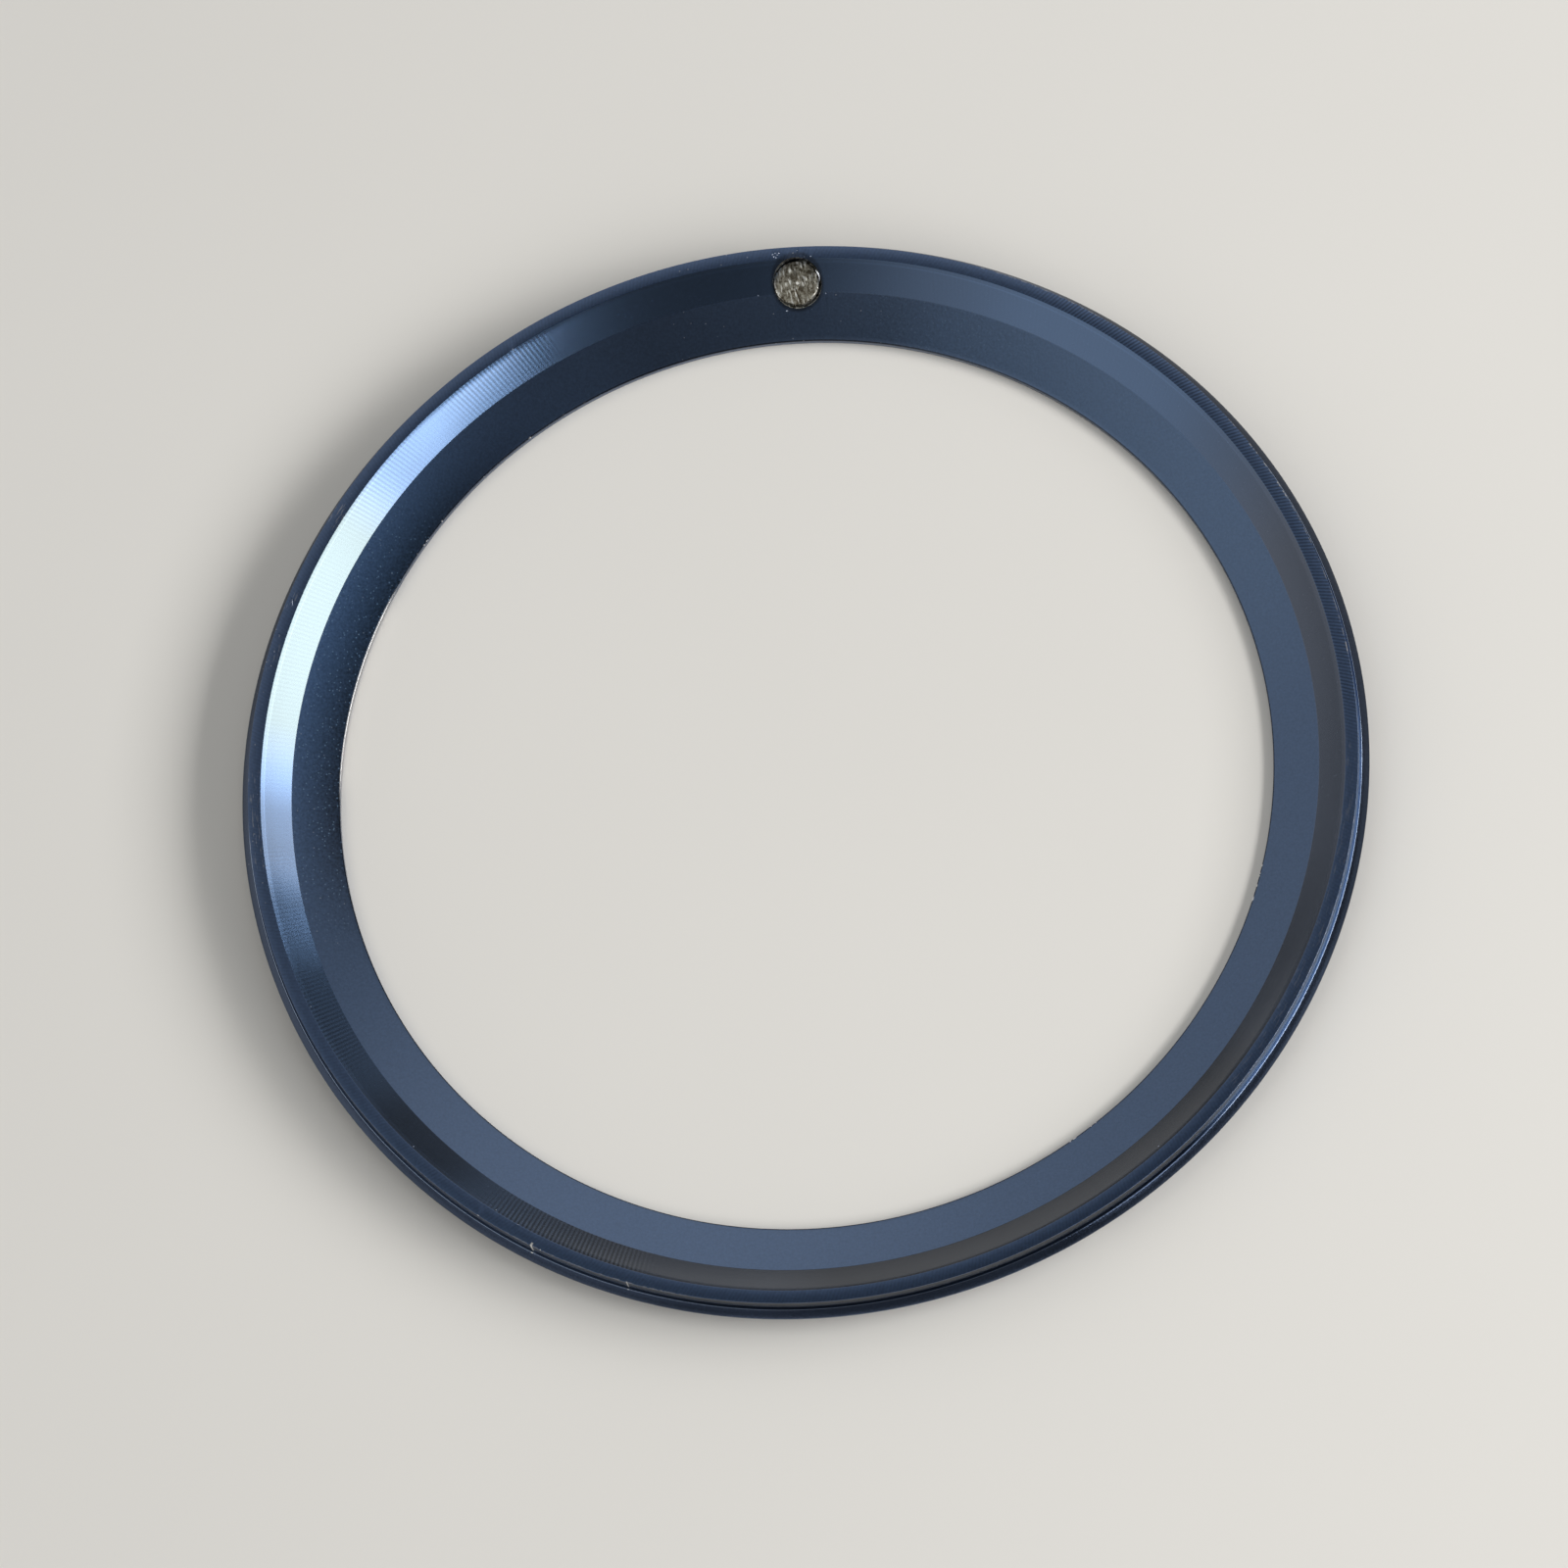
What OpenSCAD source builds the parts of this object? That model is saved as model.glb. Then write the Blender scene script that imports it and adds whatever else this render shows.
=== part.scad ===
// Bezel insert for a dive watch, lying face down.
// The face that is worn outwards looks down, the back looks up, and twelve o'clock is along +Y.
// Z is zero on the edge round the open middle, which is what the insert rests on.

/* [Ring] */
// Widest diameter, across the lip
outer_d = 38; // [37:0.1:42]
// Width of the ring, from the open middle to the lip
ring_w = 3.25; // [3.15:0.01:3.6]
// Height of the whole ring
overall_h = 1.55; // [1.45:0.01:1.75]
// Slope of the face, in degrees
face_slope = 12; // [9:0.5:13]

/* [Back of the ring] */
// Height of the straight wall round the open middle
bore_wall_h = 0.25; // [0.22:0.01:0.4]
// Slope of the shallow inner cone, in degrees
inner_cone_slope = 18; // [16:0.5:19]
// Slope of the steep cone that climbs to the rim, in degrees
rim_cone_slope = 40; // [38:0.5:50]
// Width of the flat land on top of the rim
land_w = 0.43; // [0.35:0.01:0.5]

/* [Lip] */
// How far the lip stands out past the wall of the rim
lip_reach = 0.31; // [0.2:0.01:0.36]
// Height of the wall between the lip and the land
rim_wall_h = 0.55; // [0.48:0.01:0.56]
// Width of the flat on top of the lip
lip_top_w = 0.02; // [0.01:0.01:0.06]
// Height of the upright band round the lip, which its sloped flank runs down to
lip_band_h = 0.05; // [0.03:0.01:0.1]
// Width of the undercut at the foot of the wall
undercut_w = 0.06; // [0.04:0.01:0.08]
// Depth of the undercut below the top of the lip
undercut_h = 0.06; // [0.03:0.01:0.1]
// Radius of the corner where the lip meets the face
lip_corner_r = 0.03; // [0.02:0.01:0.06]
// Break on the edges that a hand or a tool meets
edge_break = 0.03; // [0.02:0.005:0.04]

/* [Pearl] */
// Diameter of the cup's stem, which shows on the back
stem_d = 1.54; // [1.4:0.01:1.56]
// How far the stem stands past the ring's inner cone
stem_proud = 0.03; // [0:0.01:0.06]
// Chamfer round the end of the stem
stem_chamfer = 0.05; // [0.03:0.01:0.08]
// Diameter of the punch mark in the end of the stem
punch_d = 0.16; // [0.1:0.01:0.3]
// Diameter of the cup's head
head_d = 1.9; // [1.82:0.01:1.92]
// Depth of the head's seat below the face
head_seat_h = 0.18; // [0.14:0.01:0.2]
// How far the head stands proud of the face
head_proud = 0.09; // [0.06:0.01:0.1]
// Thickness of the cup's wall
cup_wall = 0.15; // [0.1:0.01:0.2]
// Thickness of the luminous filling
lume_h = 0.08; // [0.05:0.01:0.1]
// How far the lens reaches below the face
lens_grip_h = 0.03; // [0.01:0.01:0.04]
// Height of the lens's dome above the cup
dome_h = 0.13; // [0.08:0.01:0.14]

/* [Marks on the face] */
// Depth of the engraved marks
mark_h = 0.06; // [0.04:0.01:0.08]
// Plain margin between the marks and the lip
outer_margin = 0.2; // [0.17:0.01:0.22]
// Plain margin between the marks and the open middle
inner_margin = 0.2; // [0.16:0.01:0.25]
// Least width of the triangle's enamel round the pearl
triangle_rim = 0.12; // [0.08:0.01:0.16]
// Width of a five minute bar
bar_w = 0.5; // [0.3:0.05:0.7]
// Length of a five minute bar
bar_l = 2.5; // [2:0.05:2.7]
// Width of a minute tick
tick_w = 0.16; // [0.12:0.01:0.25]
// Length of a minute tick
tick_l = 0.55; // [0.4:0.05:0.7]

/* [Clearances] */
// Clearance round the stem in its hole
stem_gap = 0.06; // [0.04:0.01:0.08]
// Clearance round the head in its seat
head_gap = 0.03; // [0.01:0.01:0.04]
// Clearance round the filling and the lens in the cup
lens_gap = 0.01; // [0.005:0.005:0.02]

/* [Hidden] */

// Number of straight steps in a rounded edge
round_steps = 6;
// How far a cutter runs past the surface that it opens
cut_past = 0.3;
minutes = 60;
minute_angle = 360 / minutes;

outer_r = outer_d / 2;
bore_r = outer_r - ring_w;
rim_wall_r = outer_r - lip_reach;
land_in_r = rim_wall_r - land_w;
lip_top_z = overall_h - rim_wall_h;
lip_in_r = rim_wall_r + undercut_w;

// Height of the face and of the inner cone at radius r
function face_z(r) = (r - bore_r - edge_break) * tan(face_slope);
function inner_cone_z(r) = bore_wall_h + (r - bore_r) * tan(inner_cone_slope);

// The steep cone starts where its line meets the line of the inner cone
cone_foot_r = (overall_h - bore_wall_h - land_in_r * tan(rim_cone_slope) + bore_r * tan(inner_cone_slope))
              / (tan(inner_cone_slope) - tan(rim_cone_slope));

// Centre of the lip's lower corner, which is tangent to the face
corner_c = [outer_r - lip_corner_r, face_z(outer_r - lip_corner_r) + lip_corner_r / cos(face_slope)];
lip_band_z = corner_c[1] + lip_band_h;

marks_out_r = outer_r - outer_margin;
marks_in_r = bore_r + inner_margin;

// The pearl's head sits in the triangle, as near its outer side as the rim of enamel allows
head_room_r = head_d / 2 + head_gap;
pearl_face_r = marks_out_r - triangle_rim - head_room_r;
// The triangle's slanting sides pass the head's room by the same rim
triangle_half_angle = asin((head_room_r + triangle_rim) / (pearl_face_r - marks_in_r));
triangle_w = 2 * (marks_out_r - marks_in_r) * tan(triangle_half_angle);
// Angle from twelve that the triangle keeps free of ticks
triangle_clear = atan((triangle_w / 2 + tick_w) / marks_out_r);

// The pearl's axis is square to the face. Its own Z is zero on the face and points out of the back
web_t = (inner_cone_z(pearl_face_r) - face_z(pearl_face_r))
        / (cos(face_slope) + sin(face_slope) * tan(inner_cone_slope));
stem_end_z = web_t + stem_proud;
cup_in_r = head_d / 2 - cup_wall;
lens_r = cup_in_r - lens_gap;
cup_floor_z = lens_grip_h + lume_h;
// Radius of the ball that the dome is cut from
dome_r = (lens_r * lens_r + dome_h * dome_h) / (2 * dome_h);

// Points of an arc of radius r about c, from angle a0 to angle a1
function arc(c, r, a0, a1) =
    [for (i = [0:round_steps])
        let (a = a0 + (a1 - a0) * i / round_steps)
        [c[0] + r * cos(a), c[1] + r * sin(a)]];

// Outline of the ring's section, from the edge that it rests on and round by the bore, back and lip
function ring_section() = concat(
    [[bore_r + edge_break, 0],
     [bore_r, edge_break],
     [bore_r, bore_wall_h],
     [cone_foot_r, inner_cone_z(cone_foot_r)],
     [land_in_r, overall_h],
     [rim_wall_r - edge_break, overall_h],
     [rim_wall_r, overall_h - edge_break],
     [rim_wall_r, lip_top_z - undercut_h],
     [lip_in_r, lip_top_z - undercut_h],
     [lip_in_r, lip_top_z],
     [lip_in_r + lip_top_w, lip_top_z],
     [outer_r, lip_band_z]],
    arc(corner_c, lip_corner_r, 0, face_slope - 90));

// Puts its children on the pearl's axis
module on_pearl_axis() {
    translate([0, pearl_face_r, face_z(pearl_face_r)])
        rotate([face_slope, 0, 0])
            children();
}

// A round disc on the pearl's axis, from height z0 to height z1
module disc(r, z0, z1) {
    translate([0, 0, z0])
        cylinder(r = r, h = z1 - z0, $fn = 64);
}

// The room that the pearl needs in the ring: a stem hole and a wider seat for the head
module pearl_room() {
    on_pearl_axis() {
        disc(stem_d / 2 + stem_gap, 0, overall_h);
        disc(head_room_r, -cut_past, head_seat_h);
    }
}

// The layer of the face that the marks are sunk in, and past it by the given amount
module face_layer(past) {
    rotate_extrude($fn = 180)
        polygon([
            [marks_in_r - inner_margin / 2, face_z(marks_in_r - inner_margin / 2) - past],
            [marks_out_r + outer_margin / 4, face_z(marks_out_r + outer_margin / 4) - past],
            [marks_out_r + outer_margin / 4, face_z(marks_out_r + outer_margin / 4) + mark_h],
            [marks_in_r - inner_margin / 2, face_z(marks_in_r - inner_margin / 2) + mark_h]]);
}

// One straight mark at the given minute, with its outer end on the marks' outer circle
module straight_mark(minute, w, l) {
    rotate(minute * minute_angle)
        translate([-w / 2, marks_out_r - l])
            square([w, l]);
}

// Triangle at twelve, with its point towards the middle
module triangle_outline() {
    polygon([[-triangle_w / 2, marks_out_r], [triangle_w / 2, marks_out_r], [0, marks_in_r]]);
}

// A bar at every second five minutes: 5, 15, 25 and so on
module bar_outlines() {
    for (minute = [5:10:minutes - 5])
        straight_mark(minute, bar_w, bar_l);
}

// A tick at every other minute that the triangle leaves free
module tick_outlines() {
    for (minute = [0:minutes - 1])
        if (minute % 10 != 5 && cos(minute * minute_angle) < cos(triangle_clear))
            straight_mark(minute, tick_w, tick_l);
}

// Raises flat outlines through the face and keeps what lies in the marks' layer
module sunk(past) {
    intersection() {
        face_layer(past);
        translate([0, 0, -cut_past])
            linear_extrude(overall_h)
                children();
    }
}

// Anodised ring, turned from one piece
module insert_ring() {
    color("#263a58")
        difference() {
            rotate_extrude($fn = 180)
                polygon(ring_section());
            pearl_room();
            sunk(cut_past) triangle_outline();
            sunk(cut_past) bar_outlines();
            sunk(cut_past) tick_outlines();
        }
}

// Metal cup with a head in the face and a stem that is set from the back
module pearl_cup() {
    color("#8b8678")
        on_pearl_axis()
            rotate_extrude($fn = 64)
                polygon([
                    [0, cup_floor_z],
                    [cup_in_r, cup_floor_z],
                    [cup_in_r, edge_break - head_proud],
                    [cup_in_r + edge_break, -head_proud],
                    [head_d / 2 - edge_break, -head_proud],
                    [head_d / 2, edge_break - head_proud],
                    [head_d / 2, head_seat_h],
                    [stem_d / 2, head_seat_h],
                    [stem_d / 2, stem_end_z - stem_chamfer],
                    [stem_d / 2 - stem_chamfer, stem_end_z],
                    [punch_d / 2, stem_end_z],
                    [0, stem_end_z - punch_d / 2]]);
}

// Luminous filling on the floor of the cup
module pearl_lume() {
    color("#cfe3c4")
        on_pearl_axis()
            disc(lens_r, lens_grip_h, cup_floor_z);
}

// Clear lens: a short round base with a dome that looks out of the face
module pearl_lens() {
    color("#dfe8ee", 0.5)
        on_pearl_axis() {
            disc(lens_r, -head_proud, lens_grip_h);
            intersection() {
                disc(lens_r, -head_proud - dome_h, -head_proud);
                translate([0, 0, dome_r - dome_h - head_proud])
                    sphere(r = dome_r, $fn = 96);
            }
        }
}

// Enamel in the triangle, round the pearl's head
module triangle_fill() {
    color("#d9d9d4")
        difference() {
            sunk(0) triangle_outline();
            pearl_room();
        }
}

// Enamel in the five minute bars
module five_minute_bar_fills() {
    color("#d9d9d4")
        sunk(0) bar_outlines();
}

// Enamel in the minute ticks
module minute_tick_fills() {
    color("#d9d9d4")
        sunk(0) tick_outlines();
}

insert_ring();
pearl_cup();
pearl_lume();
pearl_lens();
triangle_fill();
five_minute_bar_fills();
minute_tick_fills();
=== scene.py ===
"""Looks of a watch bezel insert that lies face down on a pale floor.

The ring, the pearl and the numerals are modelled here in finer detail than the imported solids, at the same sizes
and in the same place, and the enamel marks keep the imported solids. Lengths are in millimetres until a piece is
finished, which turns them into metres.
"""

from __future__ import annotations

import logging
import math
import random
from dataclasses import dataclass, field
from enum import Enum
from typing import Any, Iterable, Mapping, Sequence, Union

import bmesh
import bpy
from mathutils import Matrix, Vector
from mathutils import noise as mottle

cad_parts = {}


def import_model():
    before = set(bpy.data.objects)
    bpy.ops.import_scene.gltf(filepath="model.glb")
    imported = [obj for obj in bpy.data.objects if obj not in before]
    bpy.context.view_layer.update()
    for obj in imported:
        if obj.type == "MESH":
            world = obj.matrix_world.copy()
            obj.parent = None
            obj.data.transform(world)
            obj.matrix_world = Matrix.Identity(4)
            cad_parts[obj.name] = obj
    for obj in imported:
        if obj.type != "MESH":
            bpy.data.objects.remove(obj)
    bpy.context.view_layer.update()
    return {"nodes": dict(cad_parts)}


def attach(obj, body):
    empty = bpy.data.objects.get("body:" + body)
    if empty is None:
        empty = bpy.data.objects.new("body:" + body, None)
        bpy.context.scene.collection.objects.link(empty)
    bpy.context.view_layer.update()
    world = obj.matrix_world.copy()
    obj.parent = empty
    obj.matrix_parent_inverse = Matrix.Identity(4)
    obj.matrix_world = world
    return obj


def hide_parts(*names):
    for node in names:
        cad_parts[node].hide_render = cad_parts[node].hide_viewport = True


log = logging.getLogger("bezel_insert")

RGB = tuple[float, float, float]
Span = tuple[float, float]
Material = bpy.types.Material
Object = bpy.types.Object
Shape = bmesh.types.BMesh
Socket = bpy.types.NodeSocket
Tree = bpy.types.NodeTree
MM = 0.001
CREASE = math.radians(35)
MERGE = 1e-5
MINUTES = 60
MINUTE_ANGLE = 2 * math.pi / MINUTES


class Join(Enum):
    """How one closed shape acts on another."""

    CUT = "DIFFERENCE"
    KEEP = "INTERSECT"


class Slot(Enum):
    """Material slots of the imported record."""

    ANODISED = "anodised_aluminium"
    CUP = "cup_metal"
    LUME = "lume"
    LENS = "lens"
    ENAMEL = "enamel"


class Signal:
    """A number that varies over a surface.

    Python's own operators on it add the Math nodes that an expression needs.
    """

    def __init__(self, tree: Tree, socket: Socket) -> None:
        """Wraps an output of a node tree."""
        self.tree, self.socket = tree, socket

    def math(self, operation: str, *operands: Operand) -> Signal:
        """Adds one Math node.

        Args:
            operation: The node's operation.
            operands: What goes into it, in order.

        Returns:
            The node's result.
        """
        node = self.tree.nodes.new("ShaderNodeMath")
        node.operation = operation
        for entry, operand in zip(node.inputs, operands):
            if isinstance(operand, Signal):
                self.tree.links.new(operand.socket, entry)
            else:
                entry.default_value = float(operand)
        return Signal(self.tree, node.outputs[0])

    def __add__(self, other: Operand) -> Signal:
        """Sum."""
        return self.math("ADD", self, other)

    def __sub__(self, other: Operand) -> Signal:
        """Difference."""
        return self.math("SUBTRACT", self, other)

    def __rsub__(self, other: Operand) -> Signal:
        """Difference, from the right."""
        return self.math("SUBTRACT", other, self)

    def __mul__(self, other: Operand) -> Signal:
        """Product."""
        return self.math("MULTIPLY", self, other)

    def __truediv__(self, other: Operand) -> Signal:
        """Quotient."""
        return self.math("DIVIDE", self, other)

    def __pow__(self, other: Operand) -> Signal:
        """Power."""
        return self.math("POWER", self, other)

    def __neg__(self) -> Signal:
        """The same with its sign turned."""
        return self.math("MULTIPLY", self, -1.0)

    def __abs__(self) -> Signal:
        """The same without its sign."""
        return self.math("ABSOLUTE", self)

    def __lt__(self, other: Operand) -> Signal:
        """1 where it is less, and 0 elsewhere."""
        return self.math("LESS_THAN", self, other)

    def __mod__(self, other: Operand) -> Signal:
        """Remainder, never below 0."""
        return self.math("FLOORED_MODULO", self, other)

    # A sum and a product are the same from either side
    __radd__, __rmul__ = __add__, __mul__

    def sine(self) -> Signal:
        """Sine of it, in radians."""
        return self.math("SINE", self)

    def greatest(self, other: Operand) -> Signal:
        """The greater of the two."""
        return self.math("MAXIMUM", self, other)

    def least(self, other: Operand) -> Signal:
        """The lesser of the two."""
        return self.math("MINIMUM", self, other)

    def hypot(self, other: Signal) -> Signal:
        """Length of the vector whose sides are the two."""
        return (self * self + other * other) ** 0.5

    def rise(self, start: float, end: float) -> Signal:
        """Smooth step.

        Args:
            start: The value up to which the result is 0.
            end: The value from which it is 1.

        Returns:
            The step.
        """
        sockets = {"Value": self, "From Min": start, "From Max": end}
        made = Nodes(self.tree).node("ShaderNodeMapRange", {"interpolation_type": "SMOOTHSTEP"}, sockets)
        return Signal(self.tree, made.outputs["Result"])

    def band(self, low: float, high: float, soft: float) -> Signal:
        """1 between two values and 0 outside, with soft ends of a given width."""
        return self.rise(low - soft / 2, low + soft / 2) * (1 - self.rise(high - soft / 2, high + soft / 2))


Operand = Union[Signal, float, int]
Socketed = Union[Signal, Socket, float, Sequence[float]]


class Nodes:
    """A node tree under construction."""

    def __init__(self, tree: Tree) -> None:
        """Starts on a material's or the world's own tree."""
        self.tree = tree

    def node(
        self, kind: str, settings: Mapping[str, Any] | None = None, sockets: Mapping[str, Socketed] | None = None
    ) -> bpy.types.Node:
        """Adds a node.

        Args:
            kind: The node's type.
            settings: Its own settings, which are made first.
            sockets: Values or links of its inputs, by name or identifier.

        Returns:
            The node.
        """
        made = self.tree.nodes.new(kind)
        for name, choice in (settings or {}).items():
            setattr(made, name, choice)
        for name, value in (sockets or {}).items():
            self.feed(made, name, value)
        return made

    def feed(self, node: bpy.types.Node, name: str, value: Socketed) -> None:
        """Sets or links one input of a node.

        Args:
            node: The node.
            name: The input's name or identifier.
            value: A number or colour to set, or an output to link.
        """
        entry = next(s for s in node.inputs if name in (s.identifier, s.name))
        if isinstance(value, Signal):
            self.tree.links.new(value.socket, entry)
        elif isinstance(value, Socket):
            self.tree.links.new(value, entry)
        else:
            entry.default_value = value

    def signal(self, socket: Socket) -> Signal:
        """The number that an output holds."""
        return Signal(self.tree, socket)

    def vector(self, operation: str, *operands: Socketed) -> Socket:
        """Adds one Vector Math node.

        Args:
            operation: The node's operation.
            operands: The vectors that go into it, in order.

        Returns:
            The vector that it makes.
        """
        made = self.node("ShaderNodeVectorMath", {"operation": operation})
        for entry, operand in zip(made.inputs, operands):
            self.feed(made, entry.identifier, operand)
        return made.outputs["Vector"]

    def stretched(self, socket: Socket, amount: Operand) -> Socket:
        """A vector made longer or shorter by a factor."""
        made = self.node("ShaderNodeVectorMath", {"operation": "SCALE"}, {"Vector": socket, "Scale": amount})
        return made.outputs["Vector"]

    def bundle(self, x: Operand, y: Operand, z: Operand) -> Socket:
        """Three numbers as one vector."""
        return self.node("ShaderNodeCombineXYZ", None, {"X": x, "Y": y, "Z": z}).outputs["Vector"]

    def split(self, socket: Socket) -> tuple[Signal, Signal, Signal]:
        """One vector as three numbers.

        Args:
            socket: The vector.

        Returns:
            Its x, y and z.
        """
        made = self.node("ShaderNodeSeparateXYZ", None, {"Vector": socket})
        x, y, z = (self.signal(out) for out in made.outputs)
        return x, y, z

    def blend(self, factor: Operand, first: Socketed, second: Socketed) -> Socket:
        """Mixes two colours.

        Args:
            factor: 0 for the first and 1 for the second.
            first: First colour.
            second: Second colour.

        Returns:
            The mixed colour.
        """
        made = self.node("ShaderNodeMix", {"data_type": "RGBA"}, {"Factor_Float": factor})
        for name, colour in (("A_Color", first), ("B_Color", second)):
            self.feed(made, name, (*colour, 1.0) if isinstance(colour, tuple) else colour)
        return next(out for out in made.outputs if out.identifier == "Result_Color")

    def grain(self, where: Socket, scale: float, detail: float = 2.0, rough: float = 0.5) -> Signal:
        """Noise between 0 and 1 over some coordinates, with a number of finer layers and their strength."""
        sockets = {"Vector": where, "Scale": scale, "Detail": detail, "Roughness": rough}
        return self.signal(self.node("ShaderNodeTexNoise", None, sockets).outputs["Fac"])


@dataclass(frozen=True)
class Arc:
    """A stretch round the ring, in degrees of its clock, and how strong something is there."""

    start: float
    end: float
    strength: float = 1.0
    soft: float = 2.0


Arcs = tuple[Arc, ...]


class Surface(Nodes):
    """A material under construction, with the places on the piece in millimetres.

    Its clock angle is 0 at twelve o'clock and grows clockwise, as seen from the back of the insert.
    """

    def __init__(self, name: str) -> None:
        """Starts a material with its name.

        Args:
            name: Name of the material.
        """
        self.material = bpy.data.materials.new(name)
        self.material.use_nodes = True
        super().__init__(self.material.node_tree)
        self.shader = self.tree.nodes["Principled BSDF"]
        coordinates = self.node("ShaderNodeTexCoord")
        self.place = self.stretched(coordinates.outputs["Object"], 1 / MM)
        self.x, self.y, self.z = self.split(self.place)
        self.r = self.x.hypot(self.y)
        self.clock = self.x.math("ARCTAN2", self.x, self.y)
        self.degrees = (self.clock * (180 / math.pi)) % 360.0
        # Cosine and sine of the clock angle, for patterns that run round without a seam
        self.along = self.y / self.r
        self.across = self.x / self.r

    def set(self, **sockets: Socketed) -> None:
        """Sets or links inputs of the shader, with underscores for spaces in their names."""
        for name, value in sockets.items():
            self.feed(self.shader, name.replace("_", " "), value)

    def arcs(self, stretches: Arcs) -> Signal:
        """The strength of each stretch within it, and 0 elsewhere."""
        return sum(self.degrees.band(arc.start, arc.end, arc.soft) * arc.strength for arc in stretches)

    def specks(self, scale: float, size: float, share: float) -> Signal:
        """Mask of sparse round specks.

        Args:
            scale: Cells for each millimetre, each with one place for a speck.
            size: Radius of a speck, as a share of a cell.
            share: Share of the cells that hold one.

        Returns:
            1 on a speck and 0 elsewhere.
        """
        cells = self.node("ShaderNodeTexVoronoi", None, {"Vector": self.place, "Scale": scale})
        chance, _, _ = self.split(cells.outputs["Color"])
        return (1 - self.signal(cells.outputs["Distance"]).rise(size * 0.5, size)) * (chance < share)

    def ring_grain(self, turns: float, radial: float, detail: float, rough: float = 0.5) -> Signal:
        """Noise that is stretched round the ring, by its speed for each radian and each millimetre."""
        where = self.bundle(self.along * turns, self.across * turns, (self.r + self.z) * radial)
        return self.grain(where, 1.0, detail, rough)

    def tilted(self, round_tilt: Operand, out_tilt: Operand) -> Socket:
        """The surface's normal, tilted by small angles.

        Args:
            round_tilt: Tilt round the ring, in radians.
            out_tilt: Tilt away from the ring's axis, in radians.

        Returns:
            The new normal.
        """
        normal = self.node("ShaderNodeNewGeometry").outputs["Normal"]
        clockwise = self.stretched(self.bundle(self.along, -self.across, 0.0), round_tilt)
        away = self.stretched(self.bundle(self.across, self.along, 0.0), out_tilt)
        return self.vector("NORMALIZE", self.vector("ADD", self.vector("ADD", normal, clockwise), away))

    def bumped(self, height: Signal, depth: float, normal: Socket | None = None) -> Socket:
        """A normal that follows a height.

        Args:
            height: The height, between 0 and 1.
            depth: What a height of 1 stands for, in millimetres.
            normal: The normal that it starts from, where that isn't the surface's own.

        Returns:
            The new normal.
        """
        made = self.node("ShaderNodeBump", None, {"Strength": 1.0, "Distance": depth * MM, "Height": height})
        if normal is not None:
            self.feed(made, "Normal", normal)
        return made.outputs["Normal"]


@dataclass(frozen=True)
class InsertSizes:
    """Sizes that the sub-assemblies share, in millimetres and radians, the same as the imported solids'."""

    outer_r: float = 19.0
    bore_r: float = 15.75
    overall_h: float = 1.55
    face_slope: float = math.radians(12)
    bore_wall_h: float = 0.25
    inner_cone_slope: float = math.radians(18)
    rim_cone_slope: float = math.radians(40)
    land_in_r: float = 18.26
    rim_wall_r: float = 18.69
    lip_top_z: float = 1.0
    lip_top_w: float = 0.02
    lip_band_h: float = 0.05
    undercut_w: float = 0.06
    undercut_h: float = 0.06
    lip_corner_r: float = 0.03
    edge_break: float = 0.03
    mark_h: float = 0.06
    marks_in_r: float = 15.95
    marks_out_r: float = 18.8
    pearl_r: float = 17.7

    @property
    def cone_foot_r(self) -> float:
        """Radius at which the inner cone meets the rim's steep cone.

        Returns:
            The radius.
        """
        shallow, steep = math.tan(self.inner_cone_slope), math.tan(self.rim_cone_slope)
        rise = self.overall_h - self.bore_wall_h - self.land_in_r * steep + self.bore_r * shallow
        return rise / (shallow - steep)

    @property
    def lip_band_z(self) -> float:
        """Height at which the lip's upright band ends and its flank starts."""
        corner_z = self.face_z(self.outer_r - self.lip_corner_r) + self.lip_corner_r / math.cos(self.face_slope)
        return corner_z + self.lip_band_h

    def face_z(self, r: float) -> float:
        """Height of the face at radius r."""
        return (r - self.bore_r - self.edge_break) * math.tan(self.face_slope)

    def inner_cone_z(self, r: float) -> float:
        """Height of the inner cone at radius r."""
        return self.bore_wall_h + (r - self.bore_r) * math.tan(self.inner_cone_slope)

    def back_z(self, r: float) -> float:
        """Height of the two cones and the land at radius r.

        Args:
            r: The radius.

        Returns:
            The height.
        """
        if r < self.cone_foot_r:
            return self.inner_cone_z(r)
        return min(self.overall_h, self.overall_h - (self.land_in_r - r) * math.tan(self.rim_cone_slope))

    def pearl_axis(self) -> Matrix:
        """Place of the pearl's own axis, which is square to the face and points out of the back."""
        foot = Vector((0.0, self.pearl_r, self.face_z(self.pearl_r)))
        return Matrix.Translation(foot) @ Matrix.Rotation(self.face_slope, 4, "X")


def at_clock(degrees: float, r: float, z: float) -> Vector:
    """The point at a clock angle, clockwise from twelve as seen from the back."""
    angle = math.radians(degrees)
    return Vector((r * math.sin(angle), r * math.cos(angle), z))


def placed(name: str, data: bpy.types.ID) -> Object:
    """Puts some data in the scene as an object.

    Args:
        name: Name of the object.
        data: Its mesh, lamp, camera or text.

    Returns:
        The object.
    """
    made = bpy.data.objects.new(name, data)
    bpy.context.scene.collection.objects.link(made)
    return made


def settled(shape: Object) -> bpy.types.Mesh:
    """A new mesh of an object as its modifiers leave it."""
    graph = bpy.context.evaluated_depsgraph_get()
    return bpy.data.meshes.new_from_object(shape.evaluated_get(graph), preserve_all_data_layers=True, depsgraph=graph)


def loose_object(bm: Shape, name: str, materials: Sequence[Material]) -> Object:
    """Puts a bmesh in the scene as it is, and frees it.

    Args:
        bm: The shape.
        name: Name of the object.
        materials: Its materials, in order.

    Returns:
        The object.
    """
    mesh = bpy.data.meshes.new(name)
    bm.to_mesh(mesh)
    bm.free()
    for material in materials:
        mesh.materials.append(material)
    return placed(name, mesh)


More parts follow.
